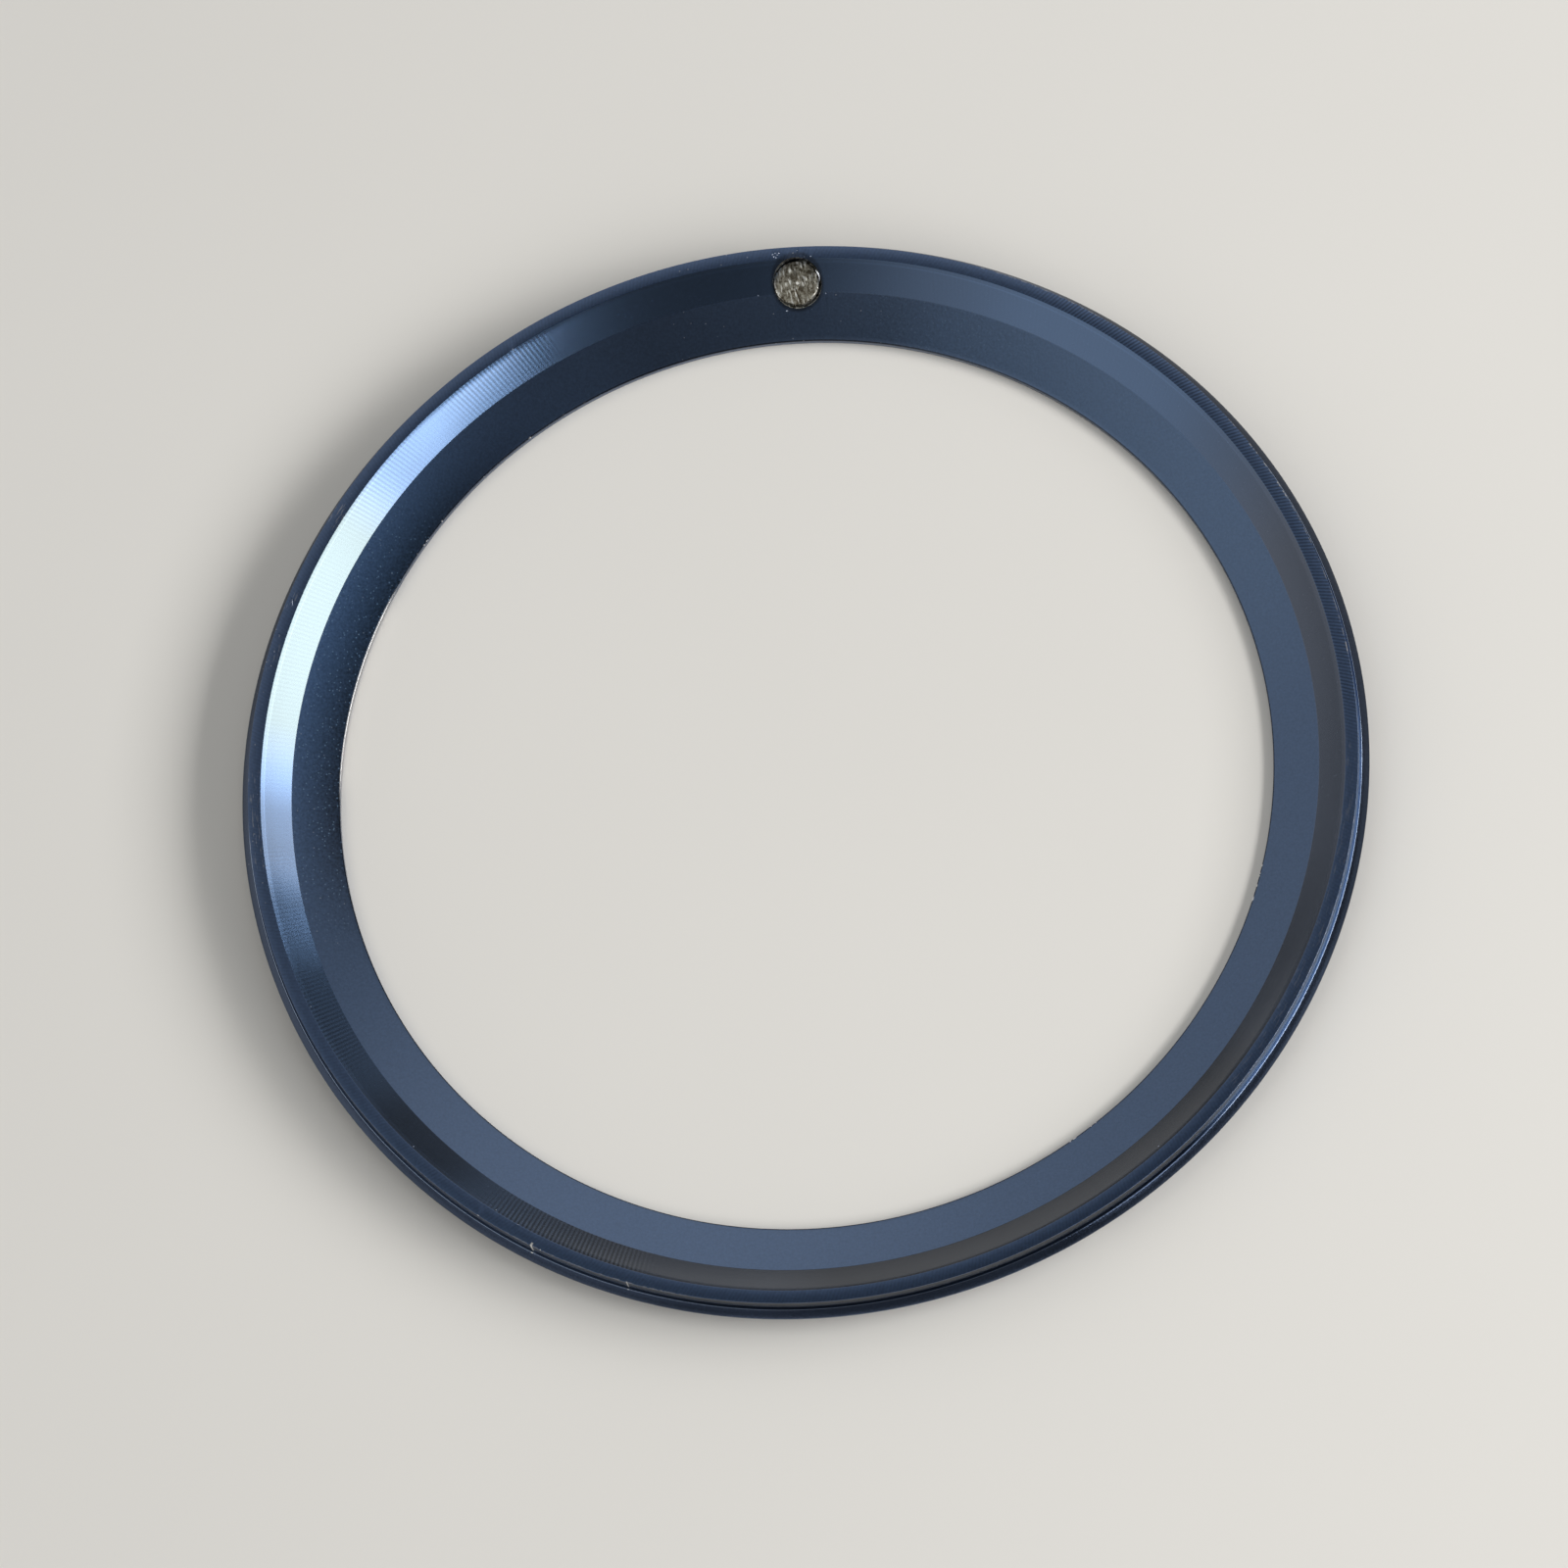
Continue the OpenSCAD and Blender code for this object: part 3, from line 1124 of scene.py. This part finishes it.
@dataclass
class FaceMarks:
    """The minute scale that is engraved in the face, as upright prisms and the layer that they are cut in."""

    sizes: InsertSizes
    steps: int = 360
    past: float = 0.3
    bar_w: float = 0.5
    bar_l: float = 2.5
    tick_w: float = 0.16
    tick_l: float = 0.55
    triangle_rim: float = 0.12
    head_room_r: float = 0.98
    numeral_h: float = 1.62
    numeral_gap: float = 0.25
    numeral_steps: int = 6
    prism_low: float = -0.3
    prism_high: float = 1.25

    def upright(self, bm: Shape, minute: float, width: float, length: float) -> None:
        """Adds the prism of a straight mark.

        Args:
            bm: Where it is added.
            minute: Its minute on the scale.
            width: Its width.
            length: Its length, inwards from the marks' outer circle.
        """
        height = self.prism_high - self.prism_low
        middle = Vector((0.0, self.sizes.marks_out_r - length / 2, (self.prism_high + self.prism_low) / 2))
        turn = Matrix.Rotation(minute * MINUTE_ANGLE, 4, "Z")
        bmesh.ops.create_cube(
            bm, size=1.0, matrix=turn @ Matrix.Translation(middle) @ Matrix.Diagonal((width, length, height, 1.0))
        )

    def raised(self, bm: Shape, faces: Sequence[bmesh.types.BMFace]) -> None:
        """Raises flat faces into closed prisms.

        Args:
            bm: Where the faces are.
            faces: Flat faces at the height that the prisms start from.
        """
        raised = bmesh.ops.extrude_face_region(bm, geom=list(faces), use_keep_orig=True)
        tops = [item for item in raised["geom"] if isinstance(item, bmesh.types.BMVert)]
        bmesh.ops.translate(bm, vec=(0, 0, self.prism_high - self.prism_low), verts=tops)

    def triangle_width(self) -> float:
        """Width of the triangle, whose sides leave a rim of enamel round the pearl.

        Returns:
            The width.
        """
        s = self.sizes
        half = math.asin((self.head_room_r + self.triangle_rim) / (s.pearl_r - s.marks_in_r))
        return 2 * (s.marks_out_r - s.marks_in_r) * math.tan(half)

    def straight_marks(self) -> Shape:
        """The prisms of the triangle, the bars and the ticks.

        Returns:
            The closed prisms.
        """
        s, bm = self.sizes, bmesh.new()
        width = self.triangle_width()
        corners = [(-width / 2, s.marks_out_r), (width / 2, s.marks_out_r), (0.0, s.marks_in_r)]
        outline = bm.faces.new([bm.verts.new((x, y, self.prism_low)) for x, y in corners])
        self.raised(bm, [outline])
        for minute in range(5, MINUTES, 10):
            self.upright(bm, minute, self.bar_w, self.bar_l)
        clear = math.atan((width / 2 + self.tick_w) / s.marks_out_r)
        for minute in range(MINUTES):
            if minute % 10 != 5 and math.cos(minute * MINUTE_ANGLE) < math.cos(clear):
                self.upright(bm, minute, self.tick_w, self.tick_l)
        return outwards(bm)

    def numerals(self) -> Shape:
        """The prisms of the numerals 10 to 50, with their tops outwards.

        Returns:
            The closed prisms.
        """
        s, bm = self.sizes, bmesh.new()
        middle_r = s.marks_out_r - self.tick_l - self.numeral_gap - self.numeral_h / 2
        for minute in range(10, MINUTES, 10):
            text = bpy.data.curves.new(f"numeral_{minute}", "FONT")
            text.body = str(minute)
            text.align_x = "CENTER"
            text.resolution_u = self.numeral_steps
            holder = placed(text.name, text)
            flat = settled(holder)
            bpy.data.objects.remove(holder)
            low, high = (pick(v.co.y for v in flat.vertices) for pick in (min, max))
            size = self.numeral_h / (high - low)
            angle = minute * MINUTE_ANGLE
            outward = Vector((-math.sin(angle), math.cos(angle), 0.0))
            reading = Vector((-math.cos(angle), -math.sin(angle), 0.0))
            place = Matrix((reading, outward, Vector((0, 0, -1)))).transposed().to_4x4()
            place.translation = outward * middle_r + Vector((0, 0, self.prism_low))
            flat.transform(place @ Matrix.Scale(size, 4) @ Matrix.Translation((0, -(low + high) / 2, 0)))
            bm.from_mesh(flat)
            bpy.data.meshes.remove(flat)
            bpy.data.curves.remove(text)
        bmesh.ops.remove_doubles(bm, verts=bm.verts[:], dist=1e-4)
        self.raised(bm, bm.faces[:])
        return outwards(bm)

    def layer(self, past: float) -> Shape:
        """The layer of the face that holds the marks.

        Args:
            past: How far it reaches out of the face.

        Returns:
            The layer, as a closed ring.
        """
        s, bm = self.sizes, bmesh.new()
        inner, outer = s.marks_in_r - 0.1, s.marks_out_r + 0.05
        corners = [(inner, -past), (outer, -past), (outer, s.mark_h), (inner, s.mark_h)]
        points = [bm.verts.new((r, 0.0, s.face_z(r) + up)) for r, up in corners]
        for pair in zip(points, points[1:] + points[:1]):
            bm.edges.new(pair)
        return outwards(spun(bm, self.steps))

    def sunk(self, prisms: Shape, past: float, name: str, finish: Material) -> Object:
        """The part of the prisms that lies in the layer.

        Args:
            prisms: Prisms of the marks, which are used up.
            past: How far the result reaches out of the face.
            name: Name of the object.
            finish: Its material.

        Returns:
            The object.
        """
        body = loose_object(prisms, name, [finish])
        return joined(body, loose_object(self.layer(past), "marks_layer", [finish]), Join.KEEP)


@dataclass
class TurnedRing:
    """The anodised ring: its section spun round, its engraved face, the pearl's room and its nicks."""

    sizes: InsertSizes
    marks: FaceMarks
    steps: int = 720
    edge_steps: int = 3
    soft_edge: float = 0.012
    cone_edge: float = 0.02
    fine_edge: float = 0.01
    lip_edge: float = 0.006
    lip_in_edge: float = 0.005
    guard_w: float = 0.16
    stem_room_r: float = 0.83
    head_seat_h: float = 0.18
    chip_in: float = 0.005
    dents_seed: int = 7
    dent_rough: float = 0.12
    nicks: tuple[Nick, ...] = (
        Nick(245.2, 18.20, 0.14, width=0.035, depth=0.02, turn=78),
        Nick(225.8, 18.20, 0.08, width=0.04, depth=0.02, turn=60),
        Nick(214.4, 18.20, 0.08, width=0.035, depth=0.02, turn=80),
        Nick(211.5, 18.26, 0.07, width=0.035, depth=0.02, turn=10),
        Nick(139.6, 18.13, 0.08, depth=0.02, turn=40),
        Nick(291.4, 18.48, 0.30, width=0.022, depth=0.006, turn=24),
        Nick(287.5, 18.50, 0.11, width=0.022, depth=0.007, turn=20),
        Nick(285.7, 18.50, 0.07, width=0.022, depth=0.007, turn=25),
        Nick(284.1, 18.47, 0.06, width=0.022, depth=0.007, turn=20),
        Nick(328.0, 18.26, 0.10, width=0.03, depth=0.02, turn=60),
        Nick(357.6, 18.46, 0.07, turn=50),
        Nick(357.75, 18.38, 0.06),
        Nick(357.9, 18.50, 0.06, width=0.045, turn=10),
        Nick(357.95, 18.34, 0.06, turn=80),
        Nick(358.1, 18.43, 0.04, width=0.04, depth=0.010),
        Nick(358.3, 18.49, 0.05, width=0.04, turn=30),
        Nick(0.25, 18.27, 0.07, depth=0.016, turn=20),
        Nick(0.2, 18.55, 0.05, width=0.03, depth=0.010),
        Nick(1.65, 18.32, 0.06, width=0.045, turn=70),
        Nick(355.5, 17.34, 0.05, depth=0.02, turn=70),
        Nick(3.15, 17.28, 0.06, width=0.04, depth=0.02, turn=80),
        Nick(358.6, 16.76, 0.07, width=0.045, turn=20),
    )
    crest_chips: tuple[tuple[float, float, float], ...] = ((208.1, 0.05, 0.04), (215.6, 0.10, 0.03))
    bore_chips: tuple[Span, ...] = (
        (103.95, 0.13), (105.0, 0.05), (105.35, 0.06), (106.6, 0.14), (108.3, 0.24),
        (142.6, 0.07), (143.25, 0.08), (145.7, 0.20), (146.4, 0.09),
    )

    def section(self) -> Shape:
        """The closed outline of the ring's section, with each corner rounded.

        Returns:
            The outline and the flat face in it.
        """
        s, bm = self.sizes, bmesh.new()
        groove_z = s.lip_top_z - s.undercut_h
        groove_r = s.rim_wall_r + s.undercut_w
        bore_guard, rim_guard = s.bore_r + self.guard_w, s.land_in_r - self.guard_w
        corners = [
            Corner(s.bore_r + s.edge_break, 0.0, self.fine_edge),
            Corner(s.bore_r, s.edge_break, self.fine_edge),
            Corner(s.bore_r, s.bore_wall_h - self.guard_w / 2),
            Corner(s.bore_r, s.bore_wall_h, self.soft_edge),
            Corner(bore_guard, s.inner_cone_z(bore_guard)),
            Corner(s.cone_foot_r, s.inner_cone_z(s.cone_foot_r), self.cone_edge),
            Corner(rim_guard, s.back_z(rim_guard)),
            Corner(s.land_in_r, s.overall_h, self.soft_edge),
            Corner(s.rim_wall_r, s.overall_h, self.soft_edge),
            Corner(s.rim_wall_r, groove_z, self.fine_edge),
            Corner(groove_r, groove_z, self.fine_edge),
            Corner(groove_r, s.lip_top_z, self.lip_in_edge),
            Corner(groove_r + s.lip_top_w, s.lip_top_z, self.lip_edge),
            Corner(s.outer_r, s.lip_band_z, self.soft_edge),
            Corner(s.outer_r, s.face_z(s.outer_r), s.lip_corner_r * math.tan((math.pi / 2 - s.face_slope) / 2)),
        ]
        points = [bm.verts.new((corner.r, 0.0, corner.z)) for corner in corners]
        bm.faces.new(points)
        for corner, point in zip(corners, points):
            if corner.reach:
                bmesh.ops.bevel(
                    bm, geom=[point], offset=corner.reach, offset_type="OFFSET", segments=self.edge_steps,
                    profile=0.5, affect="VERTICES", material=-1,
                )
        return bm

    def turned(self) -> Shape:
        """The section spun into a closed ring.

        Returns:
            The ring.
        """
        bm = self.section()
        bmesh.ops.delete(bm, geom=bm.faces[:], context="FACES_ONLY")
        return outwards(spun(bm, self.steps))

    def pearl_room(self) -> Shape:
        """The stepped hole that the pearl's cup sits in.

        Returns:
            The hole as a closed shape, on the pearl's axis.
        """
        past, head_r, top = self.marks.past, self.marks.head_room_r, self.sizes.overall_h
        outline = [
            (0.0, -past), (head_r, -past), (head_r, self.head_seat_h),
            (self.stem_room_r, self.head_seat_h), (self.stem_room_r, top), (0.0, top),
        ]
        bm = lathe(outline, 96)
        bmesh.ops.transform(bm, matrix=self.sizes.pearl_axis(), verts=bm.verts[:])
        return bm

    def chips(self) -> list[Nick]:
        """Bright chips, on the crest by clock, length and width, and along the inner edge by clock and length.

        Returns:
            The chips, those on the crest first.
        """
        s = self.sizes
        crest_r, bore_r, z = s.rim_wall_r - self.chip_in, s.bore_r - self.chip_in, s.bore_wall_h + self.chip_in
        return [
            *(Nick(clock, crest_r, length, width, depth=0.02) for clock, length, width in self.crest_chips),
            *(Nick(clock, bore_r, length, width=0.085, depth=0.045, z=z) for clock, length in self.bore_chips),
        ]

    def dents(self, marks: Iterable[Nick]) -> Shape:
        """Small faceted tools that cut the nicks.

        Args:
            marks: The nicks.

        Returns:
            The tools as one mesh.
        """
        bm, dice = bmesh.new(), random.Random(self.dents_seed)
        for mark in marks:
            middle = at_clock(mark.clock, mark.r, self.sizes.back_z(mark.r) if mark.z is None else mark.z)
            around = Matrix.Rotation(-math.radians(mark.clock), 4, "Z")
            place = (
                Matrix.Translation(middle) @ around @ Matrix.Rotation(math.radians(mark.turn), 4, "Z")
                @ Matrix.Diagonal((mark.length, mark.width, mark.depth * 2, 1.0))
            )
            made = bmesh.ops.create_icosphere(bm, subdivisions=1, radius=0.5, matrix=place)
            for vert in made["verts"]:
                vert.co += Vector([dice.uniform(-1, 1) * mark.width * self.dent_rough for _ in range(3)])
        return bm

    def build(
        self, film: Material, scuffed: Material, bare: Material
    ) -> Object:
        """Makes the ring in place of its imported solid.

        Args:
            film: Finish of the anodised surfaces.
            scuffed: Finish where the film is scraped thin.
            bare: Finish where the film is cut through.

        Returns:
            The ring.
        """
        ring = loose_object(self.turned(), "turned_ring", [film, bare])
        ring = joined(ring, loose_object(self.pearl_room(), "pearl_room", [film]), Join.CUT)
        for prisms in (self.marks.straight_marks(), self.marks.numerals()):
            ring = joined(ring, self.marks.sunk(prisms, self.marks.past, "marks_tool", bare), Join.CUT)
        for marks, finish in ((self.nicks, scuffed), (self.chips(), bare)):
            ring = joined(ring, loose_object(self.dents(marks), "dents", [finish]), Join.CUT)
        ring = finished(ring, "ring_body")
        shading = ring.modifiers.new("even_shading", "WEIGHTED_NORMAL")
        shading.keep_sharp = True
        shading.weight = 60
        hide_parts("insert_ring")
        return ring


@dataclass
class Pearl:
    """The pearl: a stemmed steel cup, its luminous filling and its lens, on the pearl's own axis."""

    sizes: InsertSizes
    steps: int = 96
    stem_r: float = 0.765
    stem_end_z: float = 0.485
    stem_chamfer: float = 0.012
    stem_off: Vector = field(default_factory=lambda: Vector((-0.048, 0.042, 0.0)))
    stem_squash: float = 0.96
    punch_r: float = 0.085
    punch_floor_r: float = 0.025
    punch_h: float = 0.042
    punch_off: Vector = field(default_factory=lambda: Vector((0.11, 0.016, 0.0)))
    punch_reach: float = 0.5
    head_r: float = 0.95
    head_seat_h: float = 0.18
    head_proud: float = 0.09
    cup_in_r: float = 0.80
    cup_floor_z: float = 0.11
    lens_r: float = 0.79
    lens_grip_h: float = 0.03
    lens_gap_h: float = 0.004
    dome_h: float = 0.13
    dome_rings: int = 12
    edge: float = 0.03
    lume_edge: float = 0.01
    end_rings: int = 16
    hammer_h: float = 0.022
    hammer_x: float = 5.0
    hammer_y: float = 2.2
    hammer_z: float = 0.7
    hammer_gain: float = 1.8
    burr_clock: float = 2.2
    burr_r: float = 17.77
    burr_l: float = 0.44
    burr_w: float = 0.045
    burr_h: float = 0.045
    burr_bow: float = 0.05
    burr_sink: float = 0.004
    burr_turn: float = math.radians(15)
    burr_steps: int = 12
    burr_start: float = 0.12
    burr_tip: float = 0.1

    def seated(self, bm: Shape, name: str, finish: Material) -> Object:
        """Turns a shape on the pearl's own axis into a finished piece."""
        bmesh.ops.transform(bm, matrix=self.sizes.pearl_axis(), verts=bm.verts[:])
        return finished(loose_object(bm, name, [finish]), name)

    def cup(self, steel: Material) -> Object:
        """Makes the cup, whose stem end is dented from setting.

        Args:
            steel: Its finish.

        Returns:
            The cup.
        """
        end_r, end_z = self.stem_r - self.stem_chamfer, self.stem_end_z - self.hammer_h
        rings = [(end_r + (self.punch_r - end_r) * i / self.end_rings, end_z) for i in range(self.end_rings + 1)]
        outline = [
            (0.0, self.cup_floor_z), (self.cup_in_r, self.cup_floor_z),
            (self.cup_in_r, self.edge - self.head_proud),
            (self.cup_in_r + self.edge, -self.head_proud), (self.head_r - self.edge, -self.head_proud),
            (self.head_r, self.edge - self.head_proud), (self.head_r, self.head_seat_h),
            (self.stem_r, self.head_seat_h), (self.stem_r, self.stem_end_z - self.stem_chamfer - self.hammer_h),
            *rings, (self.punch_floor_r, end_z - self.punch_h), (0.0, end_z - self.punch_h),
        ]
        bm = lathe(outline, self.steps)
        for vert in bm.verts:
            reach = math.hypot(vert.co.x, vert.co.y)
            if vert.co.z > self.head_seat_h + 0.01:
                vert.co.y *= self.stem_squash
                vert.co += self.stem_off + self.punch_off * max(0.0, 1 - reach / self.punch_reach)
            if vert.co.z > end_z - 0.001 and self.punch_r < reach:
                where = Vector((vert.co.x * self.hammer_x, vert.co.y * self.hammer_y, self.hammer_z))
                rough = mottle.noise(where) * 0.6 + mottle.noise(where * 2.7) * 0.4
                vert.co.z += self.hammer_h * max(-1.0, min(1.0, rough * self.hammer_gain))
        made = self.seated(bm, "pearl_cup_set", steel)
        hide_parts("pearl_cup")
        return made

    def burr(self, bare: Material) -> Object:
        """Makes the bright sliver that the drill raised on the steep cone, beside the stem's hole.

        Args:
            bare: Its finish.

        Returns:
            The sliver.
        """
        s, bm = self.sizes, bmesh.new()
        section = ((0.0, 0.0), (self.burr_w, 0.0), (self.burr_w * 0.4, self.burr_h))
        face = bm.faces.new([bm.verts.new((x, 0.0, z)) for x, z in section])
        for step in range(self.burr_steps):
            sweep = bmesh.ops.extrude_face_region(bm, geom=[face])
            if step:
                bm.faces.remove(face)
            face = next(item for item in sweep["geom"] if isinstance(item, bmesh.types.BMFace))
            bmesh.ops.translate(bm, vec=(0.0, self.burr_l / self.burr_steps, 0.0), verts=face.verts[:])
        for vert in bm.verts:
            share = vert.co.y / self.burr_l
            phase = self.burr_start + (1 - self.burr_start) * share
            slim = self.burr_tip
            if share < 1:
                slim += (1 - self.burr_tip) * math.sin(math.pi * phase) ** 0.6
            vert.co.x = vert.co.x * slim + self.burr_bow * 4 * share * (1 - share)
            vert.co.z = vert.co.z * slim
        outwards(bm)
        foot = at_clock(self.burr_clock, self.burr_r, s.back_z(self.burr_r) - self.burr_sink)
        lie = Matrix.Rotation(-math.radians(self.burr_clock), 4, "Z") @ Matrix.Rotation(s.rim_cone_slope, 4, "X")
        place = Matrix.Translation(foot) @ lie @ Matrix.Rotation(self.burr_turn, 4, "Z")
        bmesh.ops.transform(bm, matrix=place @ Matrix.Translation((0, -self.burr_l / 2, 0)), verts=bm.verts[:])
        return finished(loose_object(bm, "drill_burr", [bare]), "drill_burr")

    def lume(self, paint: Material) -> Object:
        """Makes the luminous filling on the cup's floor.

        Args:
            paint: Its finish.

        Returns:
            The filling.
        """
        outline = [
            (0.0, self.lens_grip_h), (self.lens_r - self.lume_edge, self.lens_grip_h),
            (self.lens_r, self.lens_grip_h + self.lume_edge),
            (self.lens_r, self.cup_floor_z), (0.0, self.cup_floor_z),
        ]
        bm = lathe(outline, self.steps)
        made = self.seated(bm, "lume_fill", paint)
        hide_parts("pearl_lume")
        return made

    def lens(self, clear: Material) -> Object:
        """Makes the clear dome that looks out of the face.

        Args:
            clear: Its finish.

        Returns:
            The lens.
        """
        ball = (self.lens_r ** 2 + self.dome_h ** 2) / (2 * self.dome_h)
        reach = math.asin(self.lens_r / ball)
        middle = ball - self.dome_h - self.head_proud
        turns = [reach * i / self.dome_rings for i in range(self.dome_rings + 1)]
        dome = [(ball * math.sin(turn), middle - ball * math.cos(turn)) for turn in turns]
        low = self.lens_grip_h - self.lens_gap_h
        bm = lathe([*dome, (self.lens_r, low), (0.0, low)], self.steps)
        made = self.seated(bm, "lens_dome", clear)
        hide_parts("pearl_lens")
        return made


@dataclass
class MinuteScale:
    """The enamel of the minute scale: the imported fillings, and the numerals that only show here."""

    marks: FaceMarks
    packed: tuple[str, ...] = ("triangle_fill", "five_minute_bar_fills", "minute_tick_fills")

    def dress(self, nodes: Mapping[str, Object], enamel: Material) -> None:
        """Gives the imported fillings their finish.

        Args:
            nodes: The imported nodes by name.
            enamel: Their finish.
        """
        for name in self.packed:
            nodes[name].data.materials.clear()
            nodes[name].data.materials.append(enamel)
            log.info("%s: dressed", name)

    def numerals(self, enamel: Material) -> Object:
        """Makes the enamel of the numerals, flush with the face."""
        made = self.marks.sunk(self.marks.numerals(), 0.0, "numeral_fills", enamel)
        return finished(made, "numeral_fills")


def heading(compass: float, elevation: float) -> Vector:
    """The direction of a compass angle and a rise, both in degrees."""
    turn, rise = math.radians(compass), math.radians(elevation)
    return Vector((math.cos(rise) * math.cos(turn), math.cos(rise) * math.sin(turn), math.sin(rise)))


@dataclass(frozen=True)
class Softbox:
    """A soft lamp that faces the insert. Angles are in degrees and lengths in metres."""

    name: str
    compass: float
    elevation: float
    distance: float
    width: float
    height: float
    radiance: float
    colour: RGB = (1.0, 1.0, 1.0)

    def light(self, target: Vector) -> Object:
        """Hangs the lamp.

        Args:
            target: The point that it faces.

        Returns:
            The lamp.
        """
        lamp = bpy.data.lights.new(self.name, "AREA")
        lamp.shape = "RECTANGLE"
        lamp.size, lamp.size_y = self.width, self.height
        lamp.energy = self.radiance * math.pi * self.width * self.height
        lamp.color = self.colour
        towards = heading(self.compass, self.elevation)
        made = placed(self.name, lamp)
        made.location = target + towards * self.distance
        made.rotation_euler = towards.to_track_quat("Z", "Y").to_euler()
        return made


@dataclass(frozen=True)
class Glow:
    """A soft brighter patch of the room, with its angles in degrees."""

    compass: float
    elevation: float
    reach: float
    level: float
    tint: RGB = (1.0, 1.0, 1.0)


@dataclass
class Studio:
    """Pale floor, soft lamps, dim room and the camera at the photograph's angle."""

    sizes: InsertSizes
    floor_size: float = 3.0
    floor_drop: float = 0.02
    camera_azimuth: float = math.radians(18.45)
    camera_tilt: float = math.radians(20.29)
    camera_roll: float = math.radians(20.11)
    camera_distance: float = 400.0
    camera_lens: float = 274.3
    camera_sensor: float = 36.0
    camera_clip: Span = (0.01, 10.0)
    aim_z: float = 0.79
    aim_left: float = 0.630
    aim_down: float = 0.335
    wall_compass: float = math.radians(153)
    wall_side: Span = (-0.38, 0.08)
    wall_foot: Span = (-0.06, 0.40)
    wall_top: Span = (0.82, 1.0)
    room_wall: float = 0.62
    room_dim: float = 0.12
    glows: tuple[Glow, ...] = (
        Glow(-140, 24, 34, 0.34), Glow(86, 39, 25, 0.30), Glow(12, 63, 17, 0.26, (0.2, 0.6, 1.0)),
        Glow(-172, 58, 24, 0.22, (0.8, 1.0, 1.0)),
    )
    lamps: tuple[Softbox, ...] = field(
        default_factory=lambda: (
            Softbox("key_middle", compass=-2, elevation=28.5, distance=0.40, width=0.26, height=0.16, radiance=5.0),
            Softbox("key_halo", compass=-11, elevation=28.5, distance=0.41, width=0.69, height=0.16, radiance=4.8),
        )
    )

    def floor(self, finish: Material) -> Object:
        """Lays the floor, just under the edge that the insert rests on.

        Args:
            finish: Its material.

        Returns:
            The floor.
        """
        bm = bmesh.new()
        bmesh.ops.create_grid(bm, x_segments=4, y_segments=4, size=self.floor_size / 2)
        bmesh.ops.translate(bm, vec=(0, 0, -self.floor_drop * MM), verts=bm.verts[:])
        made = loose_object(bm, "studio_floor", [finish])
        return made

    def room(self) -> None:
        """Makes the room: dim, with one pale wall behind the insert and to its left."""
        world = bpy.data.worlds.new("studio_room")
        world.use_nodes = True
        bpy.context.scene.world = world
        nodes = Nodes(world.node_tree)
        x, y, z = nodes.split(nodes.node("ShaderNodeTexCoord").outputs["Generated"])
        facing = x * math.cos(self.wall_compass) + y * math.sin(self.wall_compass)
        wall = facing.rise(*self.wall_side) * z.rise(*self.wall_foot) * (1 - z.rise(*self.wall_top))
        level = wall * (self.room_wall - self.room_dim) + self.room_dim
        shade = nodes.bundle(level, level, level)
        for glow in self.glows:
            middle = heading(glow.compass, glow.elevation)
            near = x * middle.x + y * middle.y + z * middle.z
            lit = near.rise(math.cos(math.radians(glow.reach)), 1.0) * glow.level
            shade = nodes.vector("ADD", shade, nodes.stretched(nodes.bundle(*glow.tint), lit))
        nodes.feed(world.node_tree.nodes["Background"], "Color", shade)

    def camera(self) -> Object:
        """Sets up the camera of the photograph.

        Returns:
            The camera.
        """
        turn = (
            Matrix.Rotation(self.camera_azimuth, 4, "Z") @ Matrix.Rotation(self.camera_tilt, 4, "X")
            @ Matrix.Rotation(-self.camera_roll, 4, "Z")
        )
        stand = turn @ Vector((-self.aim_left, -self.aim_down, self.camera_distance)) + Vector((0.0, 0.0, self.aim_z))
        data = bpy.data.cameras.new("photo_camera")
        data.lens = self.camera_lens
        data.sensor_width = self.camera_sensor
        data.clip_start, data.clip_end = self.camera_clip
        made = placed("photo_camera", data)
        made.matrix_world = Matrix.Translation(stand * MM) @ turn
        bpy.context.scene.camera = made
        return made

    def build(self, finish: Material) -> None:
        """Sets up the whole studio.

        Args:
            finish: The floor's material.
        """
        self.floor(finish)
        self.room()
        self.camera()
        target = Vector((0.0, 0.0, self.sizes.overall_h / 2 * MM))
        for lamp in self.lamps:
            lamp.light(target)
        bpy.context.scene.view_settings.view_transform = "Standard"
        log.info("studio: %d lamps", len(self.lamps))


def main() -> None:
    """Builds the insert and its studio, and notes how large the result is."""
    logging.basicConfig(level=logging.INFO, format="%(name)s: %(message)s")
    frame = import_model()
    sizes = InsertSizes()
    marks = FaceMarks(sizes)

    bare = BareAluminium().material()
    scuffed = ScuffedFilm().material()
    enamel = ScaleEnamel().material()
    TurnedRing(sizes, marks).build(NavyAnodise(sizes).material(), scuffed, bare)
    pearl = Pearl(sizes)
    pearl.cup(SetSteel().material())
    pearl.burr(bare)
    pearl.lume(LuminousPaint().material())
    pearl.lens(ClearLens().material())
    scale = MinuteScale(marks)
    scale.dress(frame["nodes"], enamel)
    scale.numerals(enamel)
    Studio(sizes).build(PaleFloor().material())


if __name__ == "__main__":
    main()
